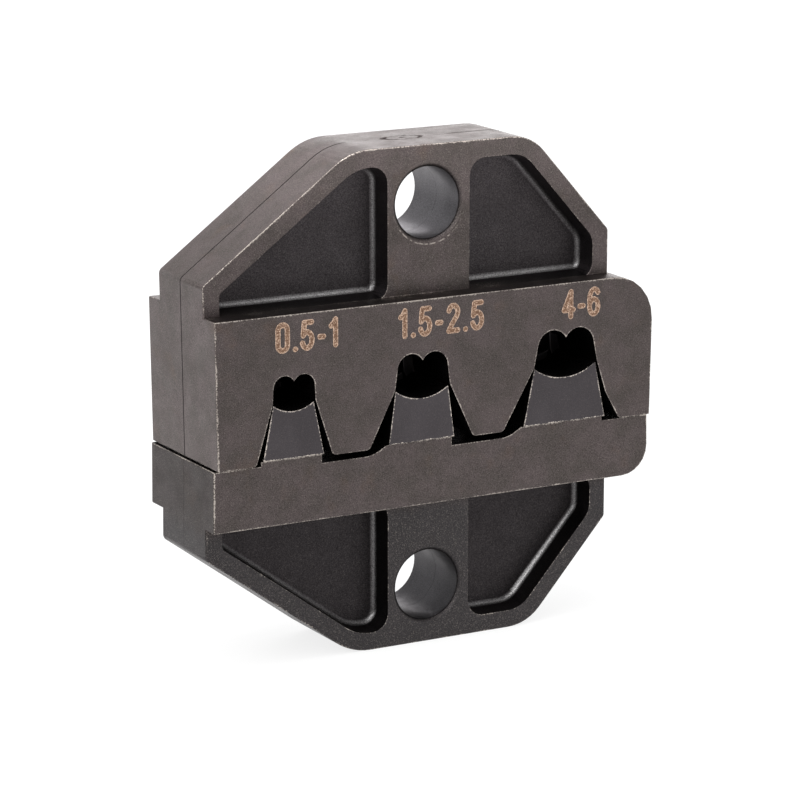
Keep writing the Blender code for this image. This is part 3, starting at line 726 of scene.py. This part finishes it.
def in_tab(z):
    """Whether a height, or each of an array of them, lies in a tab."""
    return (z > UPPER_FOOT_Z - FOOT_SLACK) | (z < TAB_HEIGHT + FOOT_SLACK)


def in_nests(x, z, margin):
    """Whether a place seen from the front lies among the nests, the teeth and the anvils."""
    return NEST_LOW_Z < z < NEST_TOP_Z and abs(x) < SIDE_X - margin


def middle_of(edge):
    """Middle of an edge."""
    return (edge.verts[0].co + edge.verts[1].co) / 2


def on_seam(edge):
    """Whether an edge lies on the seam between two plates."""
    return all(abs(vertex.co.y) < SEAM_Y for vertex in edge.verts)


def on_pocket(edge):
    """Whether an edge rims a pocket: it is on the tab's face, and one side ends at the floor."""
    if any(abs(abs(vertex.co.y) - TAB_REACH) > ON_PLANE for vertex in edge.verts):
        return False
    middle = middle_of(edge)
    depths = [min(abs(vertex.co.y) for vertex in face.verts) for face in edge.link_faces]
    in_place = in_tab(middle.z) and not beside_hole(middle)
    return in_place and SEAM_Y < min(depths) < TAB_REACH - SEAM_Y


def edge_kind(edge):
    """outer, nest or pocket. The nests' kind takes in the teeth, the anvils and the bar's top."""
    if on_pocket(edge):
        return "pocket"
    middle = middle_of(edge)
    return "nest" if in_nests(middle.x, middle.z, NEST_EDGE_MARGIN) else "outer"


def runs_deep(edge):
    """Whether an edge runs from front to rear."""
    start, end = (vertex.co for vertex in edge.verts)
    return abs(end.y - start.y) > DEEP * (end - start).length


def sharp_edges(shape, turn, kind=None):
    """Edges that turn outwards by over so many degrees, of one kind or of all.

    Those on the seam stay as they are, and so do those that run from front to rear within a nest.
    """
    found = []
    for edge in shape.edges:
        if len(edge.link_faces) != 2 or not edge.is_convex or on_seam(edge):
            continue
        if edge.calc_face_angle() <= math.radians(turn):
            continue
        its_kind = edge_kind(edge)
        if kind in (None, its_kind) and not (its_kind == "nest" and runs_deep(edge)):
            found.append(edge)
    return found


def broad_faces(shape):
    """Faces of the front and the rear, and those of the tabs."""
    depths = (max(abs(vertex.co.y) for vertex in shape.verts), TAB_REACH)
    return [face for face in shape.faces if abs(face.normal.y) > SQUARE
            and min(abs(abs(face.verts[0].co.y) - depth) for depth in depths) < ON_PLANE]


def mating_faces(shape):
    """Faces that lie on the seam between two plates."""
    return [face for face in shape.faces
            if abs(face.normal.y) > SQUARE and abs(face.verts[0].co.y) < SEAM_Y]


def inset(shape, faces, width):
    """Add a narrow border just within the outline of a group of faces."""
    bmesh.ops.inset_region(shape, faces=faces, thickness=width, use_boundary=True,
                           use_even_offset=True)


def shut_seam(shape):
    """Let the mating faces touch, but for a fine groove that is left along their outline."""
    bmesh.ops.triangulate(shape, faces=mating_faces(shape))
    faces = mating_faces(shape)
    inset(shape, faces, SEAM_DEPTH)
    for vertex in {vertex for face in faces for vertex in face.verts}:
        vertex.co.y = math.copysign(SEAM_TOUCH, vertex.co.y)


def edge_place(middle, kind):
    """Place of an edge in the table of wear."""
    if kind != "outer":
        return kind
    if beside_hole(middle):
        return "hole"
    if middle.z < TAB_HEIGHT - SHOULDER_BAND:
        return "lower_tab_end" if abs(middle.x) > SIDE_X - TAB_END else "lower_tab"
    if middle.z > UPPER_FOOT_Z + SHOULDER_BAND:
        return "upper_tab"
    if middle.z > UPPER_FOOT_Z - SHOULDER_BAND or middle.z < TAB_HEIGHT + SHOULDER_BAND:
        return "shoulder"
    return "bar" if middle.z < BAR_TOP_Z else "block"


def wear_groups(shape, rounds):
    """Start and end points of the sharp edges, in groups of one wear and one rounding."""
    groups = {}
    for edge in sharp_edges(shape, WEARING_TURN):
        kind = edge_kind(edge)
        wear = WEAR[edge_place(middle_of(edge), kind)]
        starts, ends = groups.setdefault((wear, rounds[kind]), ([], []))
        starts.append(tuple(edge.verts[0].co))
        ends.append(tuple(edge.verts[1].co))
    return groups


def worn_points(place, groups, radius):
    """Wear at each point, the greatest of all the edges.

    An edge gives its own wear along its middle. On the front and rear faces a part of it is left
    where the rounding ends, and none past the border beyond that. On the sides none is left past
    the rounding.
    """
    depth = np.abs(place[:, 1])
    on_tab = np.abs(depth - TAB_REACH)
    on_face = np.minimum(on_tab, np.abs(depth - depth.max())) < ON_FACE
    wear = np.zeros(len(place))
    for (share, rounding), (starts, ends) in groups.items():
        away = segment_distance(place, np.array(starts), np.array(ends))
        left = WEAR_LEFT if rounding > NEST_ROUND else NEST_WEAR_LEFT
        reaches = [FULL_WEAR_REACH * rounding, rounding, rounding + BORDER]
        faded = np.interp(away, reaches, [1, left, 0])
        reached = on_face | (away < SIDE_WEAR_REACH * rounding)
        wear = np.maximum(wear, share * np.where(reached, faded, 0))
    beyond = hole_distance(place) - HOLE_RADIUS - radius
    rim = np.interp(beyond, [HOLE_RIM_START * radius, 0, BORDER], [0, HOLE_RIM_WEAR, 0])
    # A thin bright line along the upper tab's foot
    foot = (np.abs(place[:, 2] - UPPER_FOOT_Z) < FOOT_BAND) & (on_tab < ON_FACE)
    return np.maximum(np.maximum(wear, on_face * rim), FOOT_BRIGHT_LINE * foot)


def set_places(mesh, place, facing, radius):
    """Mark the points of the pockets, of the painted highlight on their fillets, of the holes and of
    the painted shade on the holes' lips.
    """
    depth = np.abs(place[:, 1])
    away = hole_distance(place)
    sunk = depth < TAB_REACH - WALL_START * radius
    sunk |= np.abs(depth - TAB_REACH + radius * POCKET_ROUND_SHARE) < WALL_SLACK
    in_pocket = in_tab(place[:, 2]) & sunk & (depth > POCKET_FLOOR - FLOOR_SLACK)
    in_pocket &= away > POCKET_START
    set_attribute(mesh, "recess", in_pocket)
    # Painted highlight on the fillets, by the climb up the fillet and the way it faces, full at the
    # corners
    climb = (POCKET_FLOOR + FLOOR_FILLET - depth) / FLOOR_FILLET
    upwards = np.clip(facing[:, 2] / FULL_TILT, 0, 1)
    upwards *= np.where(place[:, 2] > MIDDLE_Z, 1.0, LOWER_GLINT)
    leftwards = np.clip(-facing[:, 0] / FULL_TILT, 0, 1) * LEFTWARD_GLINT
    corner = (facing[:, 0] < -CORNER_TILT) & (facing[:, 2] > CORNER_TILT)
    corner &= np.abs(facing[:, 1]) > CORNER_DEPTH_TILT
    painted_glint = np.where(corner, 1.0, np.maximum(upwards, leftwards))
    set_attribute(mesh, "fillet", in_pocket * np.interp(climb, *FILLET_PAINTED_GLINT) * painted_glint)
    set_attribute(mesh, "hole", away < HOLE_WALL)
    # Painted shade on the holes' rounded lips
    on_lip = (away > HOLE_WALL) & (away < HOLE_RADIUS + LIP_OUTER * radius)
    lip_ends = [HOLE_RADIUS + LIP_INNER * radius, HOLE_RADIUS + radius]
    dark = np.interp(away, lip_ends, LIP_LEVELS)
    set_attribute(mesh, "lip", on_lip * dark)


def painted_light_of_face(middle, normal, in_hole, bar_face):
    """Painted light and shade on a face's oxide: lighter on ends and slopes, darker on the lower
    half's tab.
    """
    lower = middle[2] < BAR_TOP_Z + ON_PLANE
    steep = abs(normal.y) < STEEP
    if in_hole:
        return PAINTED_LIGHT_LEVELS["lower_hole"] if lower else np.interp(normal.z, *HOLE_PAINTED_LIGHT)
    if lower and normal.z > FACING:
        return PAINTED_LIGHT_LEVELS["lower_ledge"]
    if steep and lower:
        return PAINTED_LIGHT_LEVELS["lower_side"]
    if steep:
        return PAINTED_LIGHT_LEVELS["end"] if abs(normal.x) > FACING else np.interp(normal.z, *SLOPE_PAINTED_LIGHT)
    if lower and abs(middle[1]) < TAB_REACH - TAB_SKIN:
        return PAINTED_LIGHT_LEVELS["lower_pocket"]
    return PAINTED_LIGHT_LEVELS["lower_tab"] if lower and not bar_face else PAINTED_LIGHT_LEVELS["plain"]


def set_faces(mesh, place):
    """Mark each face: whether it looks up, its tone of painted light and shade, and whether it lies
    inside, where black shade is painted.

    Inside are the walls of the nests, the sides of the anvils, what lies between the halves, and
    the seam between the plates.
    """
    upward, inside, tone = [], [], []
    front = np.abs(place[:, 1]).max()
    for face in mesh.polygons:
        corners = place[list(face.vertices)]
        middle = corners.mean(axis=0)
        in_seam = abs(middle[1]) < SEAM_Y
        deep = np.ptp(corners[:, 1]) > NEST_FACE_DEPTH
        inside.append(in_seam or (deep and in_nests(middle[0], middle[2], NEST_FACE_MARGIN)))
        upward.append(np.interp(face.normal.z, LOOKS_UP, [0, 1]))
        in_hole = (hole_distance(corners) < HOLE_WALL).all()
        bar_face = abs(middle[1]) > front - FRONT_SKIN
        # Each face's painted light and shade
        tone.append(TONE_UNIT * painted_light_of_face(middle, face.normal, in_hole, bar_face))
    for name, values in (("inside", inside), ("upward", upward), ("tone", tone)):
        set_attribute(mesh, name, values, "FACE")


def close_seam(mesh, place, node):
    """Bring the two plates together all along the lower half, in the holes and on the crest."""
    shut = hole_distance(place) < HOLE_SEAM
    shut |= (place[:, 2] > CREST_Z - CREST_SKIN) | node.startswith("lower")
    shut &= (np.abs(place[:, 1]) < SEAM_Y) & (np.abs(place[:, 1]) > CLOSED_SEAM)
    place[shut, 1] = np.sign(place[shut, 1]) * CLOSED_SEAM
    mesh.vertices.foreach_set("co", place.ravel())


def round_edges(shape, rounds):
    """Round the sharp edges of each kind, then border the broad faces along them."""
    for kind, offset in rounds.items():
        edges = sharp_edges(shape, ROUNDING_TURNS[kind], kind)
        bmesh.ops.bevel(shape, geom=edges, offset=offset, offset_type="OFFSET", segments=2,
                        profile=0.5, affect="EDGES", clamp_overlap=kind == "nest", loop_slide=True)
    shape.normal_update()
    bmesh.ops.triangulate(shape, faces=broad_faces(shape))
    shape.normal_update()
    inset(shape, broad_faces(shape), BORDER)


def smooth_mesh(shape, name):
    """Turn a finished shape into a mesh that is smooth but for its sharper edges."""
    shape.normal_update()
    for edge in shape.edges:
        turn = edge.calc_face_angle() if len(edge.link_faces) == 2 else math.pi
        edge.smooth = turn < math.radians(SMOOTH_TURN)
    mesh = bpy.data.meshes.new(name)
    shape.to_mesh(mesh)
    shape.free()
    mesh.polygons.foreach_set("use_smooth", np.ones(len(mesh.polygons), bool))
    return mesh


def rounded_copy(node, radius):
    """A copy of a node's solid with its outer edges rounded.

    Its points carry five numbers. wear is greatest on the middle of a rounded edge and fades over
    the border. recess is 1 on the walls and floor of a pocket, and fillet, a painted highlight, on
    the part of its floor's fillet that faces up. hole is 1 on the wall of a retaining hole and lip,
    a painted shade, on its rounded edge. Its faces carry inside, where black shade is painted,
    upward and tone, their painted light and shade.
    """
    rounds = {"outer": radius, "nest": NEST_ROUND, "pocket": radius * POCKET_ROUND_SHARE}
    shape = bmesh.new()
    shape.from_mesh(frame["nodes"][node].data)
    bmesh.ops.remove_doubles(shape, verts=shape.verts, dist=MERGE_WITHIN)
    bmesh.ops.dissolve_limit(shape, angle_limit=math.radians(FLAT_TURN), verts=shape.verts,
                             edges=shape.edges)
    groups = wear_groups(shape, rounds)
    round_edges(shape, rounds)
    shut_seam(shape)
    mesh = smooth_mesh(shape, node + "_dressed")
    place = read_vectors(mesh.vertices, "co")
    facing = read_vectors(mesh.vertex_normals, "vector")
    set_attribute(mesh, "wear", worn_points(place, groups, radius))
    set_places(mesh, place, facing, radius)
    set_faces(mesh, place)
    close_seam(mesh, place, node)
    piece = bpy.data.objects.new(node + "_dressed", mesh)
    bpy.context.scene.collection.objects.link(piece)
    weighted = piece.modifiers.new("flat_faces", "WEIGHTED_NORMAL")
    weighted.keep_sharp = True
    weighted.weight = FLAT_FACE_WEIGHT
    return piece


def dress(nodes, radius, material):
    """Rounded copies that stand for the nodes and move with their bodies."""
    for node, body in nodes.items():
        piece = rounded_copy(node, radius)
        piece.data.materials.append(material)
        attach(piece, body)
        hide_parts(node)


def bowl(centre, radii, start, end, count=14):
    """Points along part of an ellipse, angles in degrees."""
    angles = np.radians(np.linspace(start, end, count))
    return np.column_stack([centre[0] + radii[0] * np.cos(angles),
                            centre[1] + radii[1] * np.sin(angles)])


def digit_strokes(sign, w, h):
    """Centre lines of one sign in a box w wide and h high, its lower left corner at zero.

    Every number is a share of the width or the height, but for the angles of the bowls and the
    numbers of their points.
    """
    half = w / 2
    if sign == "0":
        top = bowl((half, h - half), (half, half), 0, 180)
        low = bowl((half, half), (half, half), 180, 360)
        return [np.vstack([top, low, top[:1]])]
    if sign == "1":
        return [np.array([(0, h * 0.76), (w * 0.55, h * 0.86), (w * 0.9, h)]),
                np.array([(w * 0.9, 0), (w * 0.9, h)])]
    if sign == "2":
        rise = h * 0.74
        head = bowl((half, rise), (half, h - rise), 165, -35)
        return [np.vstack([head, [(w * 0.30, h * 0.22), (0, 0), (w, 0)]])]
    if sign == "4":
        return [np.array([(w * 0.74, 0), (w * 0.74, h), (0, h * 0.27), (w, h * 0.27)])]
    if sign == "5":
        belly = bowl((half * 0.95, h * 0.31), (half * 1.05, h * 0.31), 140, -160, 20)
        return [np.vstack([[(w * 0.95, h), (w * 0.18, h), (w * 0.06, h * 0.5)], belly])]
    if sign == "6":
        belly = bowl((half, h * 0.30), (half, h * 0.30), 0, 360, 26)
        back = bowl((half * 1.1, h * 0.62), (half * 1.1, h * 0.38), 180, 40)
        return [belly, np.vstack([[(0, h * 0.30)], back])]
    if sign == "-":
        return [np.array([(0, h * 0.38), (w, h * 0.38)])]
    return [np.array([(0, 0), (w, 0)])]


def mark_lines(text, left, right, height, stroke):
    """Start and end points of every short line of a mark, laid out between left and right."""
    widths = [SIGN_WIDTHS[sign] * MM for sign in text]
    gap = (right - left - sum(widths)) / (len(text) - 1)
    lines, edge = [], left
    for sign, width in zip(text, widths):
        inner = max(width - stroke, NARROWEST_SIGN)
        for path in digit_strokes(sign, inner, height - stroke):
            path = path + (edge + stroke / 2, stroke / 2)
            lines.append(np.hstack([path[:-1], path[1:]]))
        edge += width + gap
    return np.vstack(lines)


def mark_field(text, left, right, sizes):
    """Grid of a mark in X and Z, and the signed distance of its points to the mark's outline.

    The distance is that to the nearest stroke's centre line less half a stroke. Grid points next to
    the outline move onto it along the gradient.
    """
    stroke = sizes.mark_stroke
    lines = mark_lines(text, left, right, sizes.mark_height, stroke)
    xs = np.arange(left - MARK_MARGIN, right + MARK_MARGIN, MARK_PITCH)
    zs = np.arange(-MARK_MARGIN, sizes.mark_height + MARK_MARGIN, MARK_PITCH)
    grid_x, grid_z = np.meshgrid(xs, zs)
    flat = np.column_stack([grid_x.ravel(), np.zeros(grid_x.size), grid_z.ravel()])
    blank = np.zeros(len(lines))
    starts = np.column_stack([lines[:, 0], blank, lines[:, 1]])
    ends = np.column_stack([lines[:, 2], blank, lines[:, 3]])
    field = (segment_distance(flat, starts, ends) - stroke / 2).reshape(grid_x.shape)
    slope_z, slope_x = np.gradient(field, MARK_PITCH)
    near = np.abs(field) < MARK_SNAP * MARK_PITCH
    grid_x = np.where(near, grid_x - field * slope_x, grid_x)
    grid_z = np.where(near, grid_z - field * slope_z, grid_z)
    return grid_x, grid_z, np.where(near, 0.0, field)


def mark_cells(grid_x, grid_z, field):
    """Point numbers of the grid's cells whose corners all lie inside and that are not crushed."""
    inside = field <= 0
    cells = inside[:-1, :-1] & inside[1:, :-1] & inside[1:, 1:] & inside[:-1, 1:]
    area = (grid_x[1:, 1:] - grid_x[:-1, :-1]) * (grid_z[1:, :-1] - grid_z[:-1, 1:])
    area -= (grid_z[1:, 1:] - grid_z[:-1, :-1]) * (grid_x[1:, :-1] - grid_x[:-1, 1:])
    cells &= area > MARK_SMALLEST_CELL * MARK_PITCH ** 2
    number = np.arange(grid_x.size).reshape(grid_x.shape)
    corners = [number[:-1, :-1], number[:-1, 1:], number[1:, 1:], number[1:, :-1]]
    return np.column_stack([corner[cells] for corner in corners])


def mark_piece(name, text, left, right, sizes):
    """A mark as a thin raised skin, its rim a little above its middle."""
    grid_x, grid_z, field = mark_field(text, left, right, sizes)
    used, faces = np.unique(mark_cells(grid_x, grid_z, field), return_inverse=True)
    rim = np.clip(1 + field.ravel()[used] / MARK_RIM, 0, 1)
    proud = sizes.mark_proud * (MARK_FLAT_RELIEF + MARK_RIM_RELIEF * rim)
    points = np.column_stack([grid_x.ravel()[used], FRONT_Y - proud,
                              MARK_BASE_Z + grid_z.ravel()[used]])
    mesh = bpy.data.meshes.new(name)
    mesh.from_pydata(points, [], faces.reshape(-1, 4))
    set_attribute(mesh, "rim", rim)
    mesh.polygons.foreach_set("use_smooth", np.ones(len(mesh.polygons), bool))
    piece = bpy.data.objects.new(name, mesh)
    bpy.context.scene.collection.objects.link(piece)
    skin = piece.modifiers.new("skin", "SOLIDIFY")
    skin.thickness = MARK_SKIN * sizes.mark_proud
    skin.offset = -1
    return piece


class DIE_OT_plates(bpy.types.Operator):
    """Dress the four plates in oxide with worn, rounded edges"""

    bl_idname = "die_set.plates"
    bl_label = "Plates"

    def execute(self, context):
        """Dress the plates."""
        scene = context.scene
        finish = oxide_finish(scene.die_colours)
        dress(PLATES, scene.die_sizes.edge_round, finish)
        return {"FINISHED"}


class DIE_OT_anvils(bpy.types.Operator):
    """Dress the six anvils in smoother ground steel"""

    bl_idname = "die_set.anvils"
    bl_label = "Anvils"

    def execute(self, context):
        """Dress the anvils."""
        scene = context.scene
        radius = scene.die_sizes.edge_round * ANVIL_ROUND_SHARE
        dress(ANVILS, radius, anvil_finish(scene.die_colours))
        return {"FINISHED"}


class DIE_OT_dowels(bpy.types.Operator):
    """Finish the four dowel pins inside the plates"""

    bl_idname = "die_set.dowels"
    bl_label = "Dowel pins"

    def execute(self, context):
        """Give the dowels' own meshes their finish."""
        material = dowel_finish(context.scene.die_colours)
        for node in DOWELS:
            mesh = frame["nodes"][node].data
            mesh.materials.clear()
            mesh.materials.append(material)
        return {"FINISHED"}


class DIE_OT_marks(bpy.types.Operator):
    """Burn the wire sizes over the nests"""

    bl_idname = "die_set.marks"
    bl_label = "Size marks"

    def execute(self, context):
        """Lay the marks on the upper front plate."""
        material = mark_finish(context.scene.die_colours)
        for size, (text, left, right) in MARKS.items():
            piece = mark_piece("size_mark_" + size, text, left, right, context.scene.die_sizes)
            piece.data.materials.append(material)
            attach(piece, UPPER)
        return {"FINISHED"}


def greater(tree, first, second):
    """Output socket with the greater of two values."""
    made = tree.nodes.new("ShaderNodeMath")
    made.operation = "MAXIMUM"
    tree.links.new(first, made.inputs[0])
    tree.links.new(second, made.inputs[1])
    return made.outputs[0]


def pale_backdrop(tree, plain, seen):
    """Mix a plain closure with a brighter one for camera, glossy and transmission rays."""
    path = tree.nodes.new("ShaderNodeLightPath")
    either = greater(tree, path.outputs["Is Camera Ray"], path.outputs["Is Glossy Ray"])
    mix = tree.nodes.new("ShaderNodeMixShader")
    tree.links.new(greater(tree, either, path.outputs["Is Transmission Ray"]), mix.inputs[0])
    tree.links.new(plain, mix.inputs[1])
    tree.links.new(seen, mix.inputs[2])
    return mix.outputs[0]


def area_light(name, place, aim, size, power):
    """A round lamp at a place that shines at a point."""
    lamp = bpy.data.lights.new(name, "AREA")
    lamp.shape = "DISK"
    lamp.size = size
    lamp.energy = power
    holder = bpy.data.objects.new(name, lamp)
    bpy.context.scene.collection.objects.link(holder)
    holder.location = place
    holder.rotation_euler = (Vector(aim) - Vector(place)).to_track_quat("-Z", "Y").to_euler()


class DIE_OT_stage(bpy.types.Operator):
    """Lay the pale floor and set the soft lights, the world and the camera"""

    bl_idname = "die_set.stage"
    bl_label = "Stage"

    def execute(self, context):
        """Build the stage and set the plain view transform."""
        self.floor()
        self.world(context.scene)
        for name, (place, size, power) in LAMPS.items():
            area_light(name, place, LAMPS_AIM, size, power)
        self.camera(context.scene)
        context.scene.view_settings.view_transform = "Standard"
        return {"FINISHED"}

    def floor(self):
        """Pale paper that keeps the shadow of the part and looks almost white."""
        reach = FLOOR_REACH
        corners = [(-reach, -reach, 0), (reach, -reach, 0), (reach, reach, 0), (-reach, reach, 0)]
        mesh = bpy.data.meshes.new("floor")
        mesh.from_pydata(corners, [], [(0, 1, 2, 3)])
        floor = bpy.data.objects.new("floor", mesh)
        bpy.context.scene.collection.objects.link(floor)
        material = bpy.data.materials.new("floor_paper")
        material.use_nodes = True
        tree = material.node_tree
        paper = tree.nodes["Principled BSDF"]
        paper.inputs["Base Color"].default_value = (PAPER_GREY, PAPER_GREY, PAPER_GREY, 1)
        paper.inputs["Roughness"].default_value = PAPER_ROUGHNESS
        dim = tree.nodes.new("ShaderNodeBsdfDiffuse")
        dim.inputs["Color"].default_value = (SHADE_GREY, SHADE_GREY, SHADE_GREY, 1)
        glow = tree.nodes.new("ShaderNodeEmission")
        glow.inputs["Strength"].default_value = FLOOR_GLOW
        both = tree.nodes.new("ShaderNodeAddShader")
        tree.links.new(dim.outputs[0], both.inputs[0])
        tree.links.new(glow.outputs[0], both.inputs[1])
        seen = pale_backdrop(tree, paper.outputs[0], both.outputs[0])
        tree.links.new(seen, tree.nodes["Material Output"].inputs["Surface"])
        mesh.materials.append(material)

    def world(self, scene):
        """Even white surroundings, a little brighter where they are seen than where they light."""
        world = bpy.data.worlds.new("studio")
        world.use_nodes = True
        scene.world = world
        tree = world.node_tree
        plain = tree.nodes["Background"]
        seen = tree.nodes.new("ShaderNodeBackground")
        for background, strength in ((plain, WORLD_STRENGTH), (seen, SEEN_STRENGTH)):
            background.inputs["Color"].default_value = (1, 1, 1, 1)
            background.inputs["Strength"].default_value = strength
        backdrop = pale_backdrop(tree, plain.outputs[0], seen.outputs[0])
        tree.links.new(backdrop, tree.nodes["World Output"].inputs["Surface"])

    def camera(self, scene):
        """The camera of the photograph."""
        lens = bpy.data.cameras.new("camera")
        lens.lens = CAMERA_LENS
        lens.clip_start, lens.clip_end = CAMERA_CLIP
        camera = bpy.data.objects.new("camera", lens)
        scene.collection.objects.link(camera)
        camera.location = CAMERA_PLACE
        camera.rotation_euler = (math.radians(90 - CAMERA_PITCH), 0, math.radians(-CAMERA_YAW))
        scene.camera = camera


class DIE_PT_panel(bpy.types.Panel):
    """Sizes, colours and buttons for the pieces of the die set"""

    bl_idname = "DIE_PT_panel"
    bl_label = "Crimping die set"
    bl_space_type = "VIEW_3D"
    bl_region_type = "UI"
    bl_category = "Die set"

    def draw(self, context):
        """List the settings, then one button for each operator."""
        for group in (context.scene.die_sizes, context.scene.die_colours):
            for name in group.__annotations__:
                self.layout.prop(group, name)
        for operator in OPERATORS:
            self.layout.operator(operator.bl_idname)


GROUPS = {"die_sizes": DieSizes, "die_colours": DieColours}
OPERATORS = (DIE_OT_plates, DIE_OT_anvils, DIE_OT_dowels, DIE_OT_marks, DIE_OT_stage)
CLASSES = (*GROUPS.values(), *OPERATORS, DIE_PT_panel)


def register():
    """Register the classes and give the scene its settings."""
    for item in CLASSES:
        bpy.utils.register_class(item)
    for name, group in GROUPS.items():
        setattr(bpy.types.Scene, name, PointerProperty(type=group))


def unregister():
    """Take the settings and the classes out again."""
    for name in GROUPS:
        delattr(bpy.types.Scene, name)
    for item in reversed(CLASSES):
        bpy.utils.unregister_class(item)


def main():
    """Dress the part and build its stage."""
    for item in list(bpy.context.scene.objects):
        if item.name in ("Cube", "Light", "Camera"):
            bpy.data.objects.remove(item)
    register()
    bpy.ops.die_set.plates()
    bpy.ops.die_set.anvils()
    bpy.ops.die_set.dowels()
    bpy.ops.die_set.marks()
    bpy.ops.die_set.stage()


if __name__ == "__main__":
    main()
